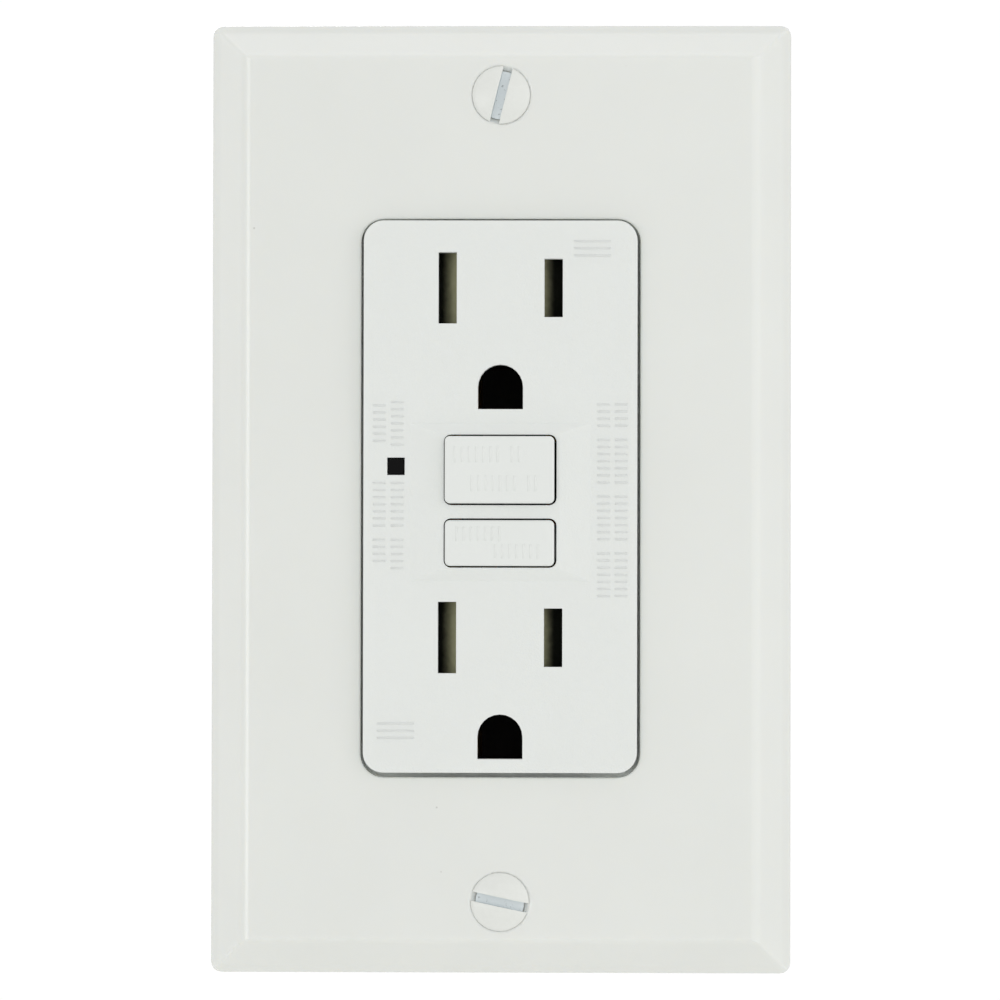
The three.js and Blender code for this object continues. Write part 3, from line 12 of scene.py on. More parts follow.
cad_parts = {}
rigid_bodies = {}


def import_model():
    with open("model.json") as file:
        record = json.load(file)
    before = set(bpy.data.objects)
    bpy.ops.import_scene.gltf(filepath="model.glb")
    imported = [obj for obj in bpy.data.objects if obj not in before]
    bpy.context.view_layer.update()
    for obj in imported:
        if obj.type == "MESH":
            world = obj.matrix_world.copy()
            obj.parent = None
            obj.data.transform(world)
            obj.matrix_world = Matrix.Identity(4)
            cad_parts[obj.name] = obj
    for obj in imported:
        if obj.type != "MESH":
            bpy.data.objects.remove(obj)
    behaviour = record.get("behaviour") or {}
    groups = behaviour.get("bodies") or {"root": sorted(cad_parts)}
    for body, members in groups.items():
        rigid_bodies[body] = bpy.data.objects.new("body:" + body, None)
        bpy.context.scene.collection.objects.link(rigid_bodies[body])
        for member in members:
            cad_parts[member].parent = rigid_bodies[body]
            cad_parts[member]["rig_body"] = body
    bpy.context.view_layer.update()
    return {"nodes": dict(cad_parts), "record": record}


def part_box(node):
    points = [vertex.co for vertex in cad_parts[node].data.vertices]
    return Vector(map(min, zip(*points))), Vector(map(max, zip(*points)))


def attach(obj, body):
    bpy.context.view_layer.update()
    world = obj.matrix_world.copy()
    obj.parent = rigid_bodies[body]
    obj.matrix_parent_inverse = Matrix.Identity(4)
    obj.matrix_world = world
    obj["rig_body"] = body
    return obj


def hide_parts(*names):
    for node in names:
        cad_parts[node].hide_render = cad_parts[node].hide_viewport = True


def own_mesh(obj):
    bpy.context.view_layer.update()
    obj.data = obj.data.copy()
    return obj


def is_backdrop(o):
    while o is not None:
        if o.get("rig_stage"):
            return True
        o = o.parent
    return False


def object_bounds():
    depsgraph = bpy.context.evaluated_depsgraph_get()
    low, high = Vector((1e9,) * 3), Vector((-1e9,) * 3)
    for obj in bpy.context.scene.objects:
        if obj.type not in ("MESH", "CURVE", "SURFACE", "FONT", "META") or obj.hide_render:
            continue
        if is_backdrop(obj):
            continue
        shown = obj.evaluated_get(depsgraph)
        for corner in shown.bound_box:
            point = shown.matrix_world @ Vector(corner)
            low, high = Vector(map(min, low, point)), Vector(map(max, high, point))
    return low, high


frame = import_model()
MM = 0.001

body_of_node = {n: o["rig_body"] for n, o in frame["nodes"].items()}
slot_of_node = {s["node"]: s["material_slot"] for s in frame["record"]["subparts"]}


# ---- shading kit --------------------------------------------------------------


def linear(code):
    """A sRGB hex colour as the linear colour that shaders take."""
    parts = [int(code[i : i + 2], 16) / 255 for i in (1, 3, 5)]
    return [p / 12.92 if p <= 0.04045 else ((p + 0.055) / 1.055) ** 2.4 for p in parts] + [1.0]


def add(tree, kind, inputs, **settings):
    """Adds one node. An input given as (node, output) is linked, anything else is set on its socket."""
    node = tree.nodes.new(kind)
    for name, value in settings.items():
        setattr(node, name, value)
    for name, value in inputs.items():
        if isinstance(value, tuple):
            tree.links.new(value[0].outputs[value[1]], node.inputs[name])
        else:
            node.inputs[name].default_value = value
    return node


def blank(name):
    material = bpy.data.materials.new(name)
    material.use_nodes = True
    material.node_tree.nodes.clear()
    return material, material.node_tree


# White resin scatters light about 0.8 mm under its skin, slightly more for the warm colours.
UNDER_SKIN = {"Subsurface Radius": [1.0, 0.95, 0.85], "Subsurface Scale": 0.8 * MM}


def per_metre(size_mm):
    """Pattern scale that gives features of this size."""
    return 1 / (size_mm * MM)


def moulded(name, light, dark, roughness, grain, relief, cloud=9.0, ior=1.5, milky=0.0):
    """Injection-moulded plastic: a faint flow cloud in the colour and the mould's own texture as relief.
    grain and cloud are sizes in mm, and relief is a depth in mm.
    milky is how much light goes under the skin."""
    material, tree = blank(name)
    place = add(tree, "ShaderNodeTexCoord", {})
    flow = add(
        tree,
        "ShaderNodeTexNoise",
        {"Vector": (place, "Object"), "Scale": per_metre(cloud), "Detail": 3.0},
    )
    fine = add(
        tree,
        "ShaderNodeTexNoise",
        {"Vector": (place, "Object"), "Scale": per_metre(grain), "Detail": 4.0, "Roughness": 0.6},
    )
    unshaded = add(tree, "ShaderNodeMix", {0: (flow, 0), 6: linear(light), 7: linear(dark)}, data_type="RGBA")
    # Painted shade: faces marked for painted gap shade turn near-black, standing in for the shade deep in
    # the gaps round the caps.
    gap_shade = add(tree, "ShaderNodeAttribute", {}, attribute_name="never_wiped", attribute_type="GEOMETRY")
    tint = add(
        tree,
        "ShaderNodeMix",
        {0: (gap_shade, "Fac"), 6: (unshaded, 2), 7: linear("#171614")},
        data_type="RGBA",
    )
    gloss = add(
        tree,
        "ShaderNodeMapRange",
        {"Value": (fine, 0), "To Min": roughness * 0.85, "To Max": roughness * 1.15},
    )
    bump = add(tree, "ShaderNodeBump", {"Height": (fine, 0), "Strength": 1.0, "Distance": relief * MM})
    shader = add(
        tree,
        "ShaderNodeBsdfPrincipled",
        {
            "Base Color": (tint, 2),
            "Roughness": (gloss, 0),
            "Normal": (bump, 0),
            "IOR": ior,
            "Subsurface Weight": milky,
            **UNDER_SKIN,
        },
    )
    add(tree, "ShaderNodeOutputMaterial", {0: (shader, 0)})
    return material


def stamped(name, light, dark, roughness, streak=(0.5, 6.0, 0.5), relief=0.004, stain=4.0):
    """Rolled and plated sheet or wire: fine streaks along the rolling direction, dull clouds from handling.
    streak is the size in mm of the marks along X, Y and Z."""
    material, tree = blank(name)
    place = add(tree, "ShaderNodeTexCoord", {})
    stretch = add(
        tree,
        "ShaderNodeMapping",
        {"Vector": (place, "Object"), "Scale": [per_metre(s) for s in streak]},
    )
    lines = add(
        tree,
        "ShaderNodeTexNoise",
        {"Vector": (stretch, 0), "Scale": 1.0, "Detail": 5.0, "Roughness": 0.65},
    )
    clouds = add(
        tree,
        "ShaderNodeTexNoise",
        {"Vector": (place, "Object"), "Scale": per_metre(stain), "Detail": 4.0},
    )
    tint = add(tree, "ShaderNodeMix", {0: (clouds, 0), 6: linear(light), 7: linear(dark)}, data_type="RGBA")
    gloss = add(
        tree,
        "ShaderNodeMapRange",
        {
            "Value": (lines, 0),
            "From Min": 0.25,
            "From Max": 0.75,
            "To Min": roughness * 0.7,
            "To Max": roughness * 1.4,
        },
    )
    bump = add(tree, "ShaderNodeBump", {"Height": (lines, 0), "Strength": 1.0, "Distance": relief * MM})
    shader = add(
        tree,
        "ShaderNodeBsdfPrincipled",
        {"Base Color": (tint, 2), "Metallic": 1.0, "Roughness": (gloss, 0), "Normal": (bump, 0)},
    )
    add(tree, "ShaderNodeOutputMaterial", {0: (shader, 0)})
    return material


def shutter_acetal():
    """Olive-grey acetal, slippery and semi-matt.
    Painted shade darkens the outer end of each shutter to near-black, standing in for the shade deep in the
    slot, and makes that end rougher."""
    material, tree = blank("acetal_shutter_painted_shade")
    place = add(tree, "ShaderNodeTexCoord", {})
    parts = add(tree, "ShaderNodeSeparateXYZ", {0: (place, "Object")})
    # The painted shade is centred 0.35 mm to one side, so one half of the pair gets more painted shade than
    # the other.
    aside = add(tree, "ShaderNodeMath", {0: (parts, 0), 1: 0.35 * MM}, operation="ADD")
    reach = add(tree, "ShaderNodeMath", {0: (aside, 0)}, operation="ABSOLUTE")
    mottle = add(
        tree,
        "ShaderNodeTexNoise",
        {"Vector": (place, "Object"), "Scale": per_metre(0.9), "Detail": 3.0},
    )
    waver = add(
        tree,
        "ShaderNodeMath",
        {0: (mottle, 0), 1: 0.3 * MM, 2: (reach, 0)},
        operation="MULTIPLY_ADD",
    )
    # Painted shade: the colour runs to near-black from 5.3 mm to 7.0 mm off the middle, its edge wavered by
    # noise.
    painted_shade = add(
        tree,
        "ShaderNodeMapRange",
        {"Value": (waver, 0), "From Min": 5.3 * MM, "From Max": 7.0 * MM},
        interpolation_type="SMOOTHSTEP",
    )
    unshaded = add(
        tree,
        "ShaderNodeMix",
        {0: (mottle, 0), 6: linear("#aeac8c"), 7: linear("#9a987a")},
        data_type="RGBA",
    )
    # Mixes the painted shade into the olive-grey.
    tint = add(
        tree,
        "ShaderNodeMix",
        {0: (painted_shade, 0), 6: (unshaded, 2), 7: linear("#0a0c03")},
        data_type="RGBA",
    )
    gloss = add(tree, "ShaderNodeMapRange", {"Value": (painted_shade, 0), "To Min": 0.4, "To Max": 0.75})
    bump = add(tree, "ShaderNodeBump", {"Height": (mottle, 0), "Strength": 1.0, "Distance": 0.006 * MM})
    shader = add(
        tree,
        "ShaderNodeBsdfPrincipled",
        {
            "Base Color": (tint, 2),
            "Roughness": (gloss, 0),
            "Normal": (bump, 0),
            "IOR": 1.48,
            "Specular IOR Level": 0.3,
        },
    )
    add(tree, "ShaderNodeOutputMaterial", {0: (shader, 0)})
    return material


def plate_enamel():
    """Glossy thermoset wall plate.
    Even white and high polish, with a faint ripple from moulding and a few dust specks."""
    material, tree = blank("polished_urea_plate")
    place = add(tree, "ShaderNodeTexCoord", {})
    ripple = add(
        tree,
        "ShaderNodeTexNoise",
        {"Vector": (place, "Object"), "Scale": per_metre(14.0), "Detail": 2.0},
    )
    orange_peel = add(
        tree,
        "ShaderNodeTexNoise",
        {"Vector": (place, "Object"), "Scale": per_metre(1.6), "Detail": 2.0},
    )
    # Dust is drawn about 0.25 mm across, so that it shows at all.
    dust = add(
        tree,
        "ShaderNodeTexVoronoi",
        {"Vector": (place, "Object"), "Scale": per_metre(7.0)},
        feature="F1",
    )
    speck = add(
        tree,
        "ShaderNodeMapRange",
        {"Value": (dust, "Distance"), "From Min": 0.012, "From Max": 0.024, "To Min": 0.55, "To Max": 0.0},
    )
    tint = add(
        tree,
        "ShaderNodeMix",
        {0: (ripple, 0), 6: linear("#eceeea"), 7: linear("#e8eae6")},
        data_type="RGBA",
    )
    dusty = add(
        tree,
        "ShaderNodeMix",
        {0: (speck, 0), 6: (tint, 2), 7: linear("#b9b8b2")},
        data_type="RGBA",
    )
    gloss = add(tree, "ShaderNodeMapRange", {"Value": (orange_peel, 0), "To Min": 0.14, "To Max": 0.24})
    bump = add(
        tree,
        "ShaderNodeBump",
        {"Height": (orange_peel, 0), "Strength": 1.0, "Distance": 0.0015 * MM},
    )
    shader = add(
        tree,
        "ShaderNodeBsdfPrincipled",
        {
            "Base Color": (dusty, 2),
            "Roughness": (gloss, 0),
            "Normal": (bump, 0),
            "IOR": 1.54,
            "Subsurface Weight": 0.45,
            **UNDER_SKIN,
        },
    )
    add(tree, "ShaderNodeOutputMaterial", {0: (shader, 0)})
    return material


def dipped(name, light, dark, roughness):
    """Epoxy-dipped component: thick glossy skin with a soft sag in it."""
    material, tree = blank(name)
    place = add(tree, "ShaderNodeTexCoord", {})
    sag = add(
        tree,
        "ShaderNodeTexNoise",
        {"Vector": (place, "Object"), "Scale": per_metre(3.0), "Detail": 2.0},
    )
    tint = add(tree, "ShaderNodeMix", {0: (sag, 0), 6: linear(light), 7: linear(dark)}, data_type="RGBA")
    gloss = add(
        tree,
        "ShaderNodeMapRange",
        {"Value": (sag, 0), "To Min": roughness * 0.8, "To Max": roughness * 1.3},
    )
    bump = add(tree, "ShaderNodeBump", {"Height": (sag, 0), "Strength": 1.0, "Distance": 0.05 * MM})
    shader = add(
        tree,
        "ShaderNodeBsdfPrincipled",
        {
            "Base Color": (tint, 2),
            "Roughness": (gloss, 0),
            "Normal": (bump, 0),
            "IOR": 1.55,
            "Coat Weight": 0.6,
            "Coat Roughness": 0.08,
        },
    )
    add(tree, "ShaderNodeOutputMaterial", {0: (shader, 0)})
    return material


def painted_head():
    """White enamel on a zinc-plated screw. Paint covers the dome, and the slot and the thread are bare."""
    material, tree = blank("enamelled_screw")
    place = add(tree, "ShaderNodeTexCoord", {})
    bare = add(tree, "ShaderNodeAttribute", {}, attribute_name="bare_metal", attribute_type="GEOMETRY")
    flecks = add(
        tree,
        "ShaderNodeTexNoise",
        {"Vector": (place, "Object"), "Scale": per_metre(0.45), "Detail": 4.0, "Roughness": 0.7},
    )
    dirt = add(tree, "ShaderNodeMapRange", {"Value": (flecks, 0), "From Min": 0.6, "From Max": 0.74})
    edge = add(tree, "ShaderNodeMath", {0: (bare, "Fac"), 1: (flecks, 0)}, operation="ADD")
    worn = add(tree, "ShaderNodeMapRange", {"Value": (edge, 0), "From Min": 1.0, "From Max": 1.1})
    zinc = add(
        tree,
        "ShaderNodeMix",
        {0: (dirt, 0), 6: linear("#dfe6e8"), 7: linear("#6b6f70")},
        data_type="RGBA",
    )
    paint = add(
        tree,
        "ShaderNodeMix",
        {0: (flecks, 0), 6: linear("#eceeea"), 7: linear("#e4e6e1")},
        data_type="RGBA",
    )
    tint = add(tree, "ShaderNodeMix", {0: (worn, 0), 6: (paint, 2), 7: (zinc, 2)}, data_type="RGBA")
    metal = add(tree, "ShaderNodeMath", {0: (worn, 0), 1: 0.7}, operation="MULTIPLY")
    gloss = add(tree, "ShaderNodeMapRange", {"Value": (worn, 0), "To Min": 0.3, "To Max": 0.42})
    bump = add(tree, "ShaderNodeBump", {"Height": (flecks, 0), "Strength": 1.0, "Distance": 0.006 * MM})
    shader = add(
        tree,
        "ShaderNodeBsdfPrincipled",
        {"Base Color": (tint, 2), "Metallic": (metal, 0), "Roughness": (gloss, 0), "Normal": (bump, 0)},
    )
    add(tree, "ShaderNodeOutputMaterial", {0: (shader, 0)})
    return material


def smoked_lens():
    """Dark tinted acrylic over an unlit indicator: almost black, polished."""
    material, tree = blank("smoked_acrylic_lens")
    place = add(tree, "ShaderNodeTexCoord", {})
    haze = add(
        tree,
        "ShaderNodeTexNoise",
        {"Vector": (place, "Object"), "Scale": per_metre(0.8), "Detail": 2.0},
    )
    tint = add(
        tree,
        "ShaderNodeMix",
        {0: (haze, 0), 6: linear("#040404"), 7: linear("#0a0a0a")},
        data_type="RGBA",
    )
    gloss = add(tree, "ShaderNodeMapRange", {"Value": (haze, 0), "To Min": 0.06, "To Max": 0.14})
    shader = add(
        tree,
        "ShaderNodeBsdfPrincipled",
        {"Base Color": (tint, 2), "Roughness": (gloss, 0), "IOR": 1.49, "Specular IOR Level": 0.12},
    )
    add(tree, "ShaderNodeOutputMaterial", {0: (shader, 0)})
    return material


def glass_laminate():
    """Green solder mask over woven glass laminate: the weave shows faintly, drawn at 0.5 mm."""
    material, tree = blank("solder_mask_laminate")
    place = add(tree, "ShaderNodeTexCoord", {})
    warp = add(
        tree,
        "ShaderNodeTexWave",
        {"Vector": (place, "Object"), "Scale": per_metre(0.5) / 6.28},
        bands_direction="X",
    )
    weft = add(
        tree,
        "ShaderNodeTexWave",
        {"Vector": (place, "Object"), "Scale": per_metre(0.5) / 6.28},
        bands_direction="Z",
    )
    weave = add(tree, "ShaderNodeMath", {0: (warp, 1), 1: (weft, 1)}, operation="MULTIPLY")
    tint = add(
        tree,
        "ShaderNodeMix",
        {0: (weave, 0), 6: linear("#1f5a35"), 7: linear("#2a6b41")},
        data_type="RGBA",
    )
    bump = add(tree, "ShaderNodeBump", {"Height": (weave, 0), "Strength": 1.0, "Distance": 0.01 * MM})
    shader = add(
        tree,
        "ShaderNodeBsdfPrincipled",
        {"Base Color": (tint, 2), "Roughness": 0.32, "Normal": (bump, 0), "IOR": 1.5},
    )
    add(tree, "ShaderNodeOutputMaterial", {0: (shader, 0)})
    return material


FINISH = {
    # Glossy urea plate, darker only by its dust.
    "plate_white": plate_enamel(),
    "painted_screw": painted_head(),
    # Face in satin thermoplastic. The mould's spark-eroded texture is about 0.1 mm across,
    # and is drawn at 0.22 mm so that it shows.
    "face_white": moulded(
        "satin_moulded_face",
        "#ebeeeb",
        "#e8ebe8",
        0.5,
        grain=0.22,
        relief=0.035,
        milky=0.2,
    ),
    # Push caps from the same resin in a slightly finer mould.
    "button_white": moulded("satin_moulded_caps", "#ebeeeb", "#e8ebe8", 0.46, grain=0.2, relief=0.012),
    "lens_smoke": smoked_lens(),
    "shutter_grey": shutter_acetal(),
    # Bright zinc plate on cold-rolled steel.
    "zinc_steel": stamped("zinc_plated_steel", "#c6c9cc", "#a9acb0", 0.34),
    # Drawn spring wire, marks run round the coil.
    "spring_steel": stamped(
        "drawn_spring_wire",
        "#b4b5b8",
        "#8f9194",
        0.28,
        streak=(2.0, 0.12, 2.0),
        relief=0.002,
    ),
    # Glass-filled phenolic insulators.
    "black_housing": moulded("black_phenolic", "#131415", "#0c0c0d", 0.66, grain=0.3, relief=0.012),
    # Housing in satin polycarbonate.
    "white_housing": moulded(
        "satin_polycarbonate_housing",
        "#dcddd8",
        "#d3d4cf",
        0.5,
        grain=0.35,
        relief=0.014,
    ),
    "brass_contact": stamped("stamped_brass", "#d6ab55", "#b8893a", 0.3, streak=(0.4, 0.4, 5.0)),
    "nickel_steel": stamped("nickel_plated_steel", "#cdcbc6", "#aeaca8", 0.26, streak=(0.4, 0.4, 4.0)),
    "copper_bridge": stamped("copper_alloy_bridge", "#c9805a", "#a86242", 0.3, streak=(5.0, 0.4, 0.4)),
    # Enamelled magnet wire: amber varnish over copper.
    "copper_winding": stamped(
        "enamelled_magnet_wire",
        "#b5622f",
        "#8c4420",
        0.24,
        streak=(1.5, 0.3, 1.5),
        relief=0.002,
    ),
    "green_steel": stamped("green_chromate_steel", "#3f8a52", "#27663a", 0.36, streak=(0.6, 0.6, 0.6)),
    "board_laminate": glass_laminate(),
    "varistor_blue": dipped("dipped_epoxy_blue", "#2f64ad", "#234f8f", 0.3),
    "capacitor_resin": dipped("dipped_epoxy_brown", "#9a4528", "#7d351d", 0.32),
    # Vulcanised fibre: matt, brick red, fibrous.
    "fibre_washer": moulded(
        "vulcanised_fibre",
        "#a8492f",
        "#8b3a25",
        0.8,
        grain=0.25,
        relief=0.02,
        cloud=2.0,
    ),
    "led_clear": dipped("tinted_led_resin", "#b9c9b4", "#9fb39a", 0.12),
}


# ---- shaping kit --------------------------------------------------------------

# Thread pitches in mm: 32 threads an inch, and the coarse thread-forming screws of the housing.
PITCH_32, PITCH_COARSE = 0.794, 0.9
# Radii over the thread in mm, of the screws in the strap, at the terminals and in the housing.
STRAP_SHANK, TERMINAL_SHANK, HOUSING_SHANK = 1.65, 1.95, 1.1


def corners(node):
    """The low and the high corner of a node's box, in mm."""
    return [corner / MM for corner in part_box(node)]


def piece(name, bm, finish, body, smooth_below=40):
    """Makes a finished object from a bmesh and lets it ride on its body.
    Edges sharper than smooth_below degrees stay sharp."""
    mesh = bpy.data.meshes.new(name)
    bm.to_mesh(mesh)
    bm.free()
    mesh.shade_smooth()
    mesh.set_sharp_from_angle(angle=radians(smooth_below))
    mesh.materials.append(finish)
    made = bpy.data.objects.new(name, mesh)
    bpy.context.scene.collection.objects.link(made)
    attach(made, body)
    return made


def paint_gap_shade(bm, low, high, behind):
    """Marks faces for painted shade: those wholly between the corners low and high, and behind this depth.
    low and high are (x, z), all in mm."""
    shade_layer = bm.faces.layers.float.new("never_wiped")
    for face in bm.faces:
        inside = all(low[0] < v.co.x / MM < high[0] and low[1] < v.co.z / MM < high[1] for v in face.verts)
        if inside and face.calc_center_median().y > behind * MM:
            face[shade_layer] = 1.0


def merged_copy(node, whole=True):
    """A node's solid with its loose triangles merged. whole also makes each flat face one face."""
    bm = bmesh.new()
    bm.from_mesh(frame["nodes"][node].data)
    bmesh.ops.remove_doubles(bm, verts=bm.verts, dist=0.002 * MM)
    if whole:
        bmesh.ops.dissolve_limit(bm, angle_limit=radians(0.6), verts=bm.verts, edges=bm.edges)
    return bm


def soften(node, edge, bm=None, segments=2, share=None, from_angle=28, clamp=True):
    """Replaces a node by its own solid, or by the shape bm, with the edges rounded by edge mm.
    share(middle, edge) gives each edge its part of that, from the edge's middle in mm."""
    bm = bm or merged_copy(node)
    weight = bm.edges.layers.float.new("bevel_weight_edge")
    for e in bm.edges:
        if len(e.link_faces) == 2 and e.calc_face_angle(0) > radians(from_angle):
            middle = (e.verts[0].co + e.verts[1].co) / 2 / MM
            e[weight] = 1.0 if share is None else share(middle, e)
    slot = slot_of_node[node]
    made = piece(node + "_finished", bm, FINISH[slot], body_of_node[node])
    round_over = made.modifiers.new("round_over", "BEVEL")
    round_over.limit_method = "WEIGHT"
    round_over.width = edge * MM
    round_over.segments = segments
    round_over.use_clamp_overlap = clamp
    even = made.modifiers.new("even_shading", "WEIGHTED_NORMAL")
    even.keep_sharp = True
    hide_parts(node)
    return made


def lay(axis, centre, start):
    """Matrix that lays a shape made along Z on a line along X, Y or Z.
    centre is in mm, and start is in mm along the line."""
    turn = {
        "x": Matrix.Rotation(pi / 2, 4, "Y"),
        "y": Matrix.Rotation(-pi / 2, 4, "X"),
        "z": Matrix.Identity(4),
    }[axis]
    place = list(centre)
    place["xyz".index(axis)] = start
    return Matrix.Translation(Vector(place) * MM) @ turn


def sweep_round(bm, outline, pitch, turns, steps, lie):
    """Carries a closed outline of (radius, height) points in mm round Z and closes its ends.
    It rises by pitch mm a turn. steps is for one turn, and lie places the result."""
    ring = [bm.verts.new((radius * MM, 0, height * MM)) for radius, height in outline]
    edges = [bm.edges.new((ring[i], ring[(i + 1) % len(ring)])) for i in range(len(ring))]
    before = set(bm.verts) - set(ring)
    bmesh.ops.spin(
        bm,
        geom=ring + edges,
        cent=(0, 0, 0),
        axis=(0, 0, 1),
        angle=2 * pi * turns,
        steps=round(steps * turns),
        dvec=(0, 0, pitch * MM / steps),
        use_merge=False,
        use_duplicate=False,
    )
    made = [v for v in bm.verts if v not in before]
    mine = {e for v in made for e in v.link_edges}
    bmesh.ops.holes_fill(bm, edges=[e for e in mine if e.is_boundary], sides=0)
    bmesh.ops.recalc_face_normals(bm, faces=list({f for v in made for f in v.link_faces}))
    bmesh.ops.transform(bm, matrix=lie, verts=made)


def cut_thread(bm, axis, centre, start, end, radius, pitch):
    """A threaded shank from start to end: a core with one helical ridge round it.
    The ridge starts just under the skin of the core, and ends short of both ends."""
    depth = 0.6 * pitch
    root = radius - depth
    length = abs(end - start)
    lie = lay(axis, centre, start)
    if end < start:
        lie = lie @ Matrix.Rotation(pi, 4, "X")
    core = Matrix.Translation((0, 0, length / 2 * MM))
    bmesh.ops.create_cone(
        bm,
        cap_ends=True,
        segments=24,
        radius1=(root + 0.03) * MM,
        radius2=(root + 0.03) * MM,
        depth=length * MM,
        matrix=lie @ core,
    )
    outline = [(root, -0.44 * pitch), (radius, -0.07 * pitch), (radius, 0.07 * pitch), (root, 0.44 * pitch)]
    turns = int((length - 1.2 * pitch) / pitch * 4) / 4
    rise = Matrix.Translation((0, 0, 0.6 * pitch * MM))
    sweep_round(bm, outline, pitch, turns, 16, lie @ rise)


def threaded(node, axis, centre, start, end, radius, pitch=PITCH_32):
    """A screw: the head of the node's solid, cut off at start, with a cut thread from there to end."""
    bm = merged_copy(node, whole=False)
    index = "xyz".index(axis)
    normal = Vector((0, 0, 0))
    normal[index] = 1 if end > start else -1
    place = Vector((0, 0, 0))
    place[index] = start * MM
    geom = bm.verts[:] + bm.edges[:] + bm.faces[:]
    cut = bmesh.ops.bisect_plane(bm, geom=geom, plane_co=place, plane_no=normal, clear_outer=True)
    rim = [g for g in cut["geom_cut"] if isinstance(g, bmesh.types.BMEdge)]
    bmesh.ops.edgeloop_fill(bm, edges=rim)
    inside = -0.2 if end > start else 0.2
    cut_thread(bm, axis, centre, start + inside, end, radius, pitch)
    return bm


def round_wire(radius, wire, sides=8):
    """Outline of a round wire whose centre line is radius mm from the axis."""
    angles = [2 * pi * i / sides for i in range(sides)]
    return [(radius + wire / 2 * cos(angle), wire / 2 * sin(angle)) for angle in angles]


def wound_spring(node, axis, centre, ends, outside, wire, turns, joint=None):
    """Round-wire compression spring in place of its node. Given a joint, it gets a mesh of its own."""
    bm = bmesh.new()
    pitch = (ends[1] - ends[0] - wire) / turns
    lie = lay(axis, centre, ends[0] + wire / 2)
    sweep_round(bm, round_wire(outside - wire / 2, wire), pitch, turns, 24, lie)
    slot = slot_of_node[node]
    made = piece(node + "_finished", bm, FINISH[slot], body_of_node[node])
    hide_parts(node)
    if joint:
        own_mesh(made)
    return made


# ---- camera, light and floor --------------------------------------------------

# The camera stands 0.75 m off, a degree to the right and a degree below, and is turned a touch.
AZIMUTH, ELEVATION, ROLL = radians(1.15), radians(-0.98), radians(0.106)
DISTANCE = 0.75
SENSOR = 36
LENS_IN_SENSORS = 6.205
# How far, in mm, the camera is slid to the left and down across its view.
SLID_LEFT, SLID_DOWN = 0.17, 0.30
away = Vector((sin(AZIMUTH) * cos(ELEVATION), -cos(AZIMUTH) * cos(ELEVATION), sin(ELEVATION)))
level = Vector((cos(AZIMUTH), sin(AZIMUTH), 0))
upright = away.cross(level)
right = level * cos(ROLL) + upright * sin(ROLL)
top = upright * cos(ROLL) - level * sin(ROLL)
camera_data = bpy.data.cameras.new("camera")
camera_data.sensor_width = SENSOR
camera_data.lens = SENSOR * LENS_IN_SENSORS
camera_data.clip_start = 0.05
camera = bpy.data.objects.new("camera", camera_data)
bpy.context.scene.collection.objects.link(camera)
turn = Matrix((right, top, away)).transposed().to_4x4()
stand = away * DISTANCE - right * SLID_LEFT * MM - top * SLID_DOWN * MM
camera.matrix_world = Matrix.Translation(stand) @ turn
bpy.context.scene.camera = camera
bpy.context.scene.view_settings.view_transform = "Standard"


def soft_light(name, place, size, watts):
    """A square softbox that faces the receptacle. place and size are in metres."""
    data = bpy.data.lights.new(name, "AREA")
    data.size = size
    data.energy = watts
    made = bpy.data.objects.new(name, data)
    made.location = place
    made.rotation_euler = (-Vector(place)).to_track_quat("-Z", "Y").to_euler()
    bpy.context.scene.collection.objects.link(made)


soft_light("near_right_softbox", (0.60, -1.48, 0.08), 1.3, 1.6)
soft_light("right_softbox", (1.06, -1.06, 0.00), 1.3, 2.1)
soft_light("far_right_softbox", (1.30, -0.52, 0.07), 1.3, 2.3)
soft_light("left_lamp", (-0.75, -1.30, 0.00), 0.4, 1.5)
soft_light("left_card", (-1.19, -0.04, 0.17), 0.6, 0.65)
soft_light("overhead_softbox", (0.00, -0.08, 1.20), 0.5, 0.8)
soft_light("back_softbox", (-0.5, 1.3, 0.7), 0.8, 6.0)

# The room's glow on the piece, and how bright the room itself is seen.
ROOM_GLOW, ROOM_SEEN = 0.73, 1.02
world = bpy.data.worlds.new("white_room")
bpy.context.scene.world = world
world.use_nodes = True
world.node_tree.nodes.clear()
ray = add(world.node_tree, "ShaderNodeLightPath", {})
strength = add(
    world.node_tree,
    "ShaderNodeMapRange",
    {"Value": (ray, "Is Camera Ray"), "To Min": ROOM_GLOW, "To Max": ROOM_SEEN},
)
sky = add(world.node_tree, "ShaderNodeBackground", {"Color": [1, 1, 1, 1], "Strength": (strength, 0)})
add(world.node_tree, "ShaderNodeOutputWorld", {0: (sky, 0)})

FLOOR_RADIUS = 1.6
FLOOR_HEIGHT = -0.2
floor_mesh = bmesh.new()
bmesh.ops.create_circle(floor_mesh, cap_ends=True, segments=64, radius=FLOOR_RADIUS)
bmesh.ops.translate(floor_mesh, verts=floor_mesh.verts, vec=(0, 0, FLOOR_HEIGHT))
floor_data = bpy.data.meshes.new("floor")
floor_mesh.to_mesh(floor_data)
floor_mesh.free()
paper = moulded("pale_paper_floor", "#f4f4f2", "#f1f1ef", 0.9, grain=0.5, relief=0.01, cloud=60.0)
floor_data.materials.append(paper)
floor = bpy.data.objects.new("floor", floor_data)
bpy.context.scene.collection.objects.link(floor)
floor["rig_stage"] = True


# ---- wall plate and its screws ------------------------------------------------

PLATE_LOW, PLATE_HIGH = corners("wall_plate")
# Widest round on the plate, in mm, and how far in from the outline the ridge that has it lies.
SOFT_RIDGE = 0.8
RIDGE_FROM, RIDGE_TO = 3.9, 4.3
RIM_BACK = -0.5


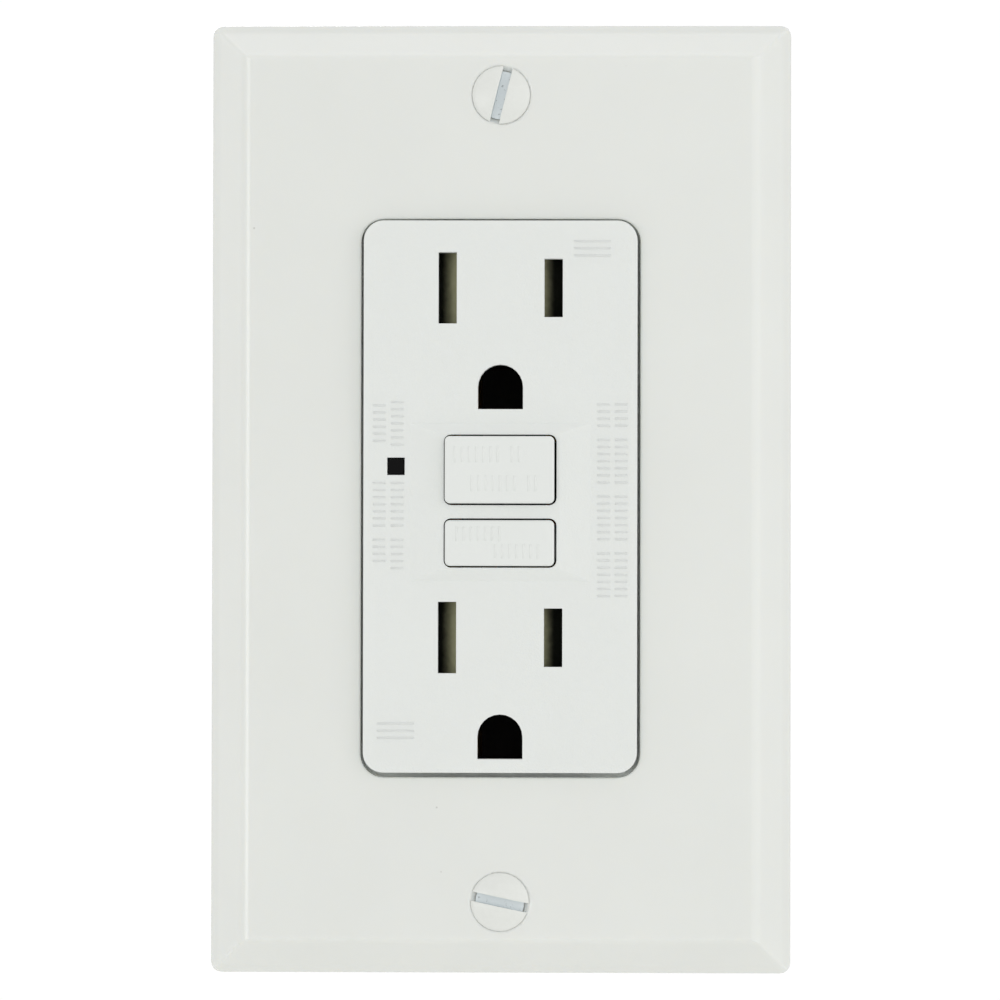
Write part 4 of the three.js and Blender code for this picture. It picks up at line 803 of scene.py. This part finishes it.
def plate_edge(middle, edge):
    """Wide round on the ridge where the bevel meets the flat front, small ones elsewhere.
    Edges that run into the wall, as those of the corner facets do, stay as they are."""
    if abs((edge.verts[1].co - edge.verts[0].co).normalized().y) > 0.9:
        return 0.0
    inset = min(
        middle.x - PLATE_LOW.x,
        PLATE_HIGH.x - middle.x,
        middle.z - PLATE_LOW.z,
        PLATE_HIGH.z - middle.z,
    )
    on_front = middle.y < PLATE_LOW.y + 0.1
    if inset > RIDGE_FROM and inset < RIDGE_TO and on_front:
        return 1.0
    if inset < 0.2 and middle.y < RIM_BACK:
        return 0.5
    if inset < RIDGE_TO and middle.y < RIM_BACK:
        return 0.3
    return 0.3 if on_front else 0.12


soften("wall_plate", SOFT_RIDGE, segments=5, share=plate_edge, from_angle=3, clamp=False)

# Width of the driver slot and where the head ends, in mm, and the lean of each slot in degrees.
DRIVER_SLOT = 1.1
HEAD_BACK = -3.4
SCREW_LEAN = {"plate_screw_top": 14, "plate_screw_bottom": 102}


def bare_metal(bm, centre, lean):
    """Marks the driver slot and the thread as bare metal. lean is in degrees clockwise from upright."""
    bare = bm.faces.layers.float.new("bare_metal")
    across = Vector((cos(radians(lean)), 0, -sin(radians(lean))))
    for face in bm.faces:
        reach = max(abs((v.co / MM - centre).dot(across)) for v in face.verts)
        if face.calc_center_median().y > (HEAD_BACK - 0.1) * MM or reach < DRIVER_SLOT / 2 + 0.02:
            face[bare] = 1.0


for screw, lean in SCREW_LEAN.items():
    low, high = corners(screw)
    centre = (low + high) / 2
    shape = threaded(screw, "y", centre, HEAD_BACK, high.y, STRAP_SHANK)
    bare_metal(shape, centre, lean)
    soften(screw, 0.1, bm=shape, segments=2)

# ---- face, buttons, shutters --------------------------------------------------

FACE_LOW = corners("front_cover")[0]
# Beyond these, in mm from the middle, an edge belongs to the outline of the face.
OUTLINE_X, OUTLINE_Z = 16.2, 32.9
INSIDE_FACE = -5.0


def face_edge(middle, edge):
    """Fillet round the face, broad soft folds on the island, crisp edges at the holes."""
    if middle.y > INSIDE_FACE:
        return 0.3
    if abs(middle.x) > OUTLINE_X or abs(middle.z) > OUTLINE_Z:
        return 0.9
    return 0.5


cover = merged_copy("front_cover")
caps_low, caps_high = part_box("test_button")[0] / MM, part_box("reset_button")[1] / MM
# Painted shade on the walls of the openings round the caps.
paint_gap_shade(cover, (-7.0, caps_low.z - 0.5), (7.0, caps_high.z + 0.5), FACE_LOW.y + 0.3)
soften("front_cover", 0.32, bm=cover, segments=3, share=face_edge, from_angle=6)
for cap in ("reset_button", "test_button"):
    shape = merged_copy(cap)
    # Painted shade on the sides of each cap below the face.
    paint_gap_shade(shape, (-9.0, -9.0), (9.0, 9.0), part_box(cap)[1].y / MM - 1.2)
    soften(cap, 0.28, bm=shape, segments=3)
soften("status_lens", 0.12)


# Plain raised bars, in mm: pitch and width. Every eighth one is left out.
BAR_PITCH = 0.85
BAR_WIDTH = 0.24
BAR_GROUP = 8


def raised_marks(name, rows, front, body, slot, proud=0.04):
    """Rows of plain raised bars, standing proud mm off the surface at front.
    A row is x and z of its start, its heading in degrees clockwise from X,
    its length and the height of its bars."""
    bm = bmesh.new()
    for x, z, heading, length, tall in rows:
        lie = Matrix.Translation((x * MM, front * MM, z * MM)) @ Matrix.Rotation(radians(heading), 4, "Y")
        for count in range(int(length / BAR_PITCH) + 1):
            if count % BAR_GROUP == BAR_GROUP - 1:
                continue
            along = Matrix.Translation((count * BAR_PITCH * MM, 0, 0))
            size = Matrix.Diagonal((BAR_WIDTH * MM, 2 * proud * MM, tall * MM, 1))
            bmesh.ops.create_cube(bm, size=1, matrix=lie @ (along @ size))
    bmesh.ops.bevel(
        bm,
        geom=bm.edges[:],
        offset=0.6 * proud * MM,
        affect="EDGES",
        segments=1,
        profile=0.5,
        material=-1,
    )
    return piece(name, bm, FINISH[slot], body, smooth_below=60)


ISLAND_RISE = 0.7
FACE_FRONT = FACE_LOW.y + ISLAND_RISE
face_body = body_of_node["front_cover"]
# Two columns beside the indicator, read downwards, two on the right, read upwards.
raised_marks(
    "face_marks",
    [
        (-12.35, 11.3, 90, 5.7, 1.5),
        (-12.35, 1.6, 90, 10.6, 1.5),
        (-14.5, 10.9, 90, 5.0, 1.5),
        (-14.5, 1.6, 90, 9.5, 1.5),
        (12.38, -11.9, -90, 23.2, 1.5),
        (14.48, -11.9, -90, 23.4, 1.5),
    ],
    FACE_FRONT,
    face_body,
    "face_white",
)
# Three plain bars in two opposite corners.
raised_marks(
    "corner_marks",
    [(11.0, 30.6, 90, 1.8, 4.4), (-12.5, -27.2, 90, 1.8, 4.4)],
    FACE_FRONT,
    face_body,
    "face_white",
)
for cap, rows in {
    "reset_button": [(-5.4, 5.0, 0, 8.4, 1.9), (-3.4, 1.55, 0, 8.4, 1.9)],
    "test_button": [(-5.2, -4.5, 0, 5.4, 1.7), (-0.6, -6.55, 0, 5.4, 1.7)],
}.items():
    name = cap.replace("button", "marks")
    raised_marks(name, rows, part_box(cap)[0].y / MM, body_of_node[cap], slot_of_node[cap])

# Strip gauge and a blank label pad on the back of the housing.
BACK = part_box("rear_housing")[1].y / MM
gauge_rows = [(-6.0, -24.0, 0, 12.0, 2.0), (-6.0, 24.0, 0, 12.0, 2.0)]
raised_marks("strip_gauge", gauge_rows, BACK, face_body, "white_housing", proud=0.2)
# Sizes of the pad in mm.
PAD_WIDTH, PAD_THICKNESS, PAD_HEIGHT = 24, 0.7, 30
PAD_FRAME, PAD_RECESS = 0.8, 0.15
label_pad = bmesh.new()
size = Matrix.Diagonal((PAD_WIDTH * MM, PAD_THICKNESS * MM, PAD_HEIGHT * MM, 1))
pad = Matrix.Translation((0, (BACK - 0.1) * MM, 0)) @ size
bmesh.ops.create_cube(label_pad, size=1, matrix=pad)
outer_faces = [f for f in label_pad.faces if f.normal.y > 0.9]
bmesh.ops.inset_region(label_pad, faces=outer_faces, thickness=PAD_FRAME * MM, depth=-PAD_RECESS * MM)
bmesh.ops.bevel(
    label_pad,
    geom=label_pad.edges[:],
    offset=0.08 * MM,
    affect="EDGES",
    segments=2,
    profile=0.5,
    material=-1,
)
piece("label_pad", label_pad, FINISH["white_housing"], face_body)

for row in ("upper", "lower"):
    for side in ("left", "right"):
        soften(f"{row}_shutter_{side}", 0.12)

# ---- everything behind the face -----------------------------------------------

for node, edge in {
    "mounting_strap": 0.15,
    "middle_housing": 0.2,
    "rear_housing": 0.3,
    "screw_retainer_top": 0.08,
    "screw_retainer_bottom": 0.08,
    "line_hot_terminal": 0.1,
    "line_neutral_terminal": 0.1,
    "load_hot_contact_bar": 0.1,
    "load_neutral_contact_bar": 0.1,
    "test_contact_spring": 0.05,
    "circuit_board": 0.06,
    "solenoid_bobbin": 0.12,
    "transformer_case": 0.25,
    "varistor": 0.4,
    "film_capacitor": 0.35,
    "controller_chip": 0.08,
    "thyristor": 0.08,
    "status_led": 0.1,
    "upper_ground_contact": 0.08,
    "lower_ground_contact": 0.08,
    "reset_pin": 0.12,
    "contact_carriage": 0.15,
    "hot_bridge_contact": 0.06,
    "neutral_bridge_contact": 0.06,
    "latch_plate": 0.06,
    "solenoid_plunger": 0.1,
    "line_hot_clamp": 0.12,
    "line_neutral_clamp": 0.12,
    "load_hot_clamp": 0.12,
    "load_neutral_clamp": 0.12,
}.items():
    soften(node, edge)

# Screws with cut threads: 6-32 in the strap, thread-forming in the housing, 8-32 at the terminals.
for screw in ("mounting_screw_top", "mounting_screw_bottom"):
    low, high = corners(screw)
    soften(screw, 0.12, bm=threaded(screw, "y", (low + high) / 2, -1.0, high.y, STRAP_SHANK))
for number in (1, 2, 3, 4):
    screw = f"housing_screw_{number}"
    low, high = corners(screw)
    centre = (low + high) / 2
    shape = threaded(screw, "y", centre, high.y - 2.0, low.y, HOUSING_SHANK, pitch=PITCH_COARSE)
    soften(screw, 0.1, bm=shape)
# Where the thread of a terminal screw starts and ends, in mm from the middle of the device.
TERMINAL_HEAD, TERMINAL_TIP = 18.9, 13.6
for feed in ("line", "load"):
    for pole, side in (("neutral", -1), ("hot", 1)):
        screw = f"{feed}_{pole}_screw"
        low, high = corners(screw)
        centre = (low + high) / 2
        shape = threaded(screw, "x", centre, side * TERMINAL_HEAD, side * TERMINAL_TIP, TERMINAL_SHANK)
        soften(screw, 0.15, bm=shape)
low, high = corners("ground_screw")
shape = threaded("ground_screw", "x", (low + high) / 2, low.x + 2.6, high.x, TERMINAL_SHANK)
soften("ground_screw", 0.15, bm=shape)

# Springs of round wire.
reset_at = (0, 0, (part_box("reset_pin")[0].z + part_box("reset_pin")[1].z) / 2 / MM)
low, high = corners("reset_spring")
wound_spring(
    "reset_spring",
    "y",
    reset_at,
    (low.y, high.y),
    outside=2.7,
    wire=0.55,
    turns=5.5,
    joint="reset_press",
)
low, high = corners("carriage_spring")
wound_spring(
    "carriage_spring",
    "y",
    reset_at,
    (low.y, high.y),
    outside=2.5,
    wire=0.45,
    turns=5.5,
    joint="carriage_close",
)
low, high = corners("plunger_spring")
wound_spring(
    "plunger_spring",
    "z",
    (low + high) / 2,
    (low.z, high.z),
    outside=2.45,
    wire=0.35,
    turns=5,
    joint="plunger_trip",
)
for row in ("upper", "lower"):
    low, high = corners(f"{row}_shutter_spring")
    wound_spring(
        f"{row}_shutter_spring",
        "x",
        (low + high) / 2,
        (low.x, high.x),
        outside=0.8,
        wire=0.3,
        turns=9,
        joint=f"{row}_left_shutter_slide",
    )

# Magnet wire on the solenoid, one visible layer, drawn at 0.3 mm so that the turns show.
# Sizes in mm: radius of the layer under it, radius of its own centre line, and the wire.
low, high = corners("solenoid_coil")
LAYER_UNDER, LAYER_TOP, MAGNET_WIRE = 3.4, 3.44, 0.3
winding = bmesh.new()
centre = (low + high) / 2
tall = high.z - low.z
bmesh.ops.create_cone(
    winding,
    cap_ends=True,
    segments=48,
    radius1=LAYER_UNDER * MM,
    radius2=LAYER_UNDER * MM,
    depth=tall * MM,
    matrix=Matrix.Translation(centre * MM),
)
wire_outline = round_wire(LAYER_TOP, MAGNET_WIRE, 6)
layer_turns = int((tall - 0.32) / MAGNET_WIRE)
sweep_round(winding, wire_outline, MAGNET_WIRE, layer_turns, 24, lay("z", centre, low.z + 0.16))
coil_body = body_of_node["solenoid_coil"]
made = piece("solenoid_coil_finished", winding, FINISH["copper_winding"], coil_body)
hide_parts("solenoid_coil")

# Toroids: a core with flat bands across it, which stand for its turns of wire.
TOROID_TURNS = 72
for coil in ("sense_coil", "neutral_coil"):
    low, high = corners(coil)
    centre = (low + high) / 2
    bm = merged_copy(coil)
    hub = Vector((centre.x, 0, centre.z))
    inner = min((Vector((v.co.x / MM, 0, v.co.z / MM)) - hub).length for v in bm.verts)
    outer = (high.x - low.x) / 2
    bmesh.ops.translate(bm, verts=bm.verts, vec=-centre * MM)
    shrink = 1 - 0.3 / (high.y - low.y)
    bmesh.ops.scale(bm, verts=bm.verts, vec=(0.985, shrink, 0.985))
    bmesh.ops.translate(bm, verts=bm.verts, vec=centre * MM)
    for count in range(TOROID_TURNS):
        around = Matrix.Translation(centre * MM) @ Matrix.Rotation(2 * pi * count / TOROID_TURNS, 4, "Y")
        middle = Matrix.Translation(((inner + outer) / 2 * MM, 0, 0))
        size = Matrix.Diagonal(((outer - inner) * MM, (high.y - low.y) * MM, 0.28 * MM, 1))
        loop = bmesh.ops.create_cube(bm, size=1, matrix=around @ middle @ size)
        rims = list({e for v in loop["verts"] for e in v.link_edges})
        bmesh.ops.bevel(
            bm,
            geom=rims,
            offset=0.1 * MM,
            affect="EDGES",
            segments=1,
            profile=0.5,
            material=-1,
        )
    made = piece(coil + "_finished", bm, FINISH["copper_winding"], body_of_node[coil])
    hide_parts(coil)

low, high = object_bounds()
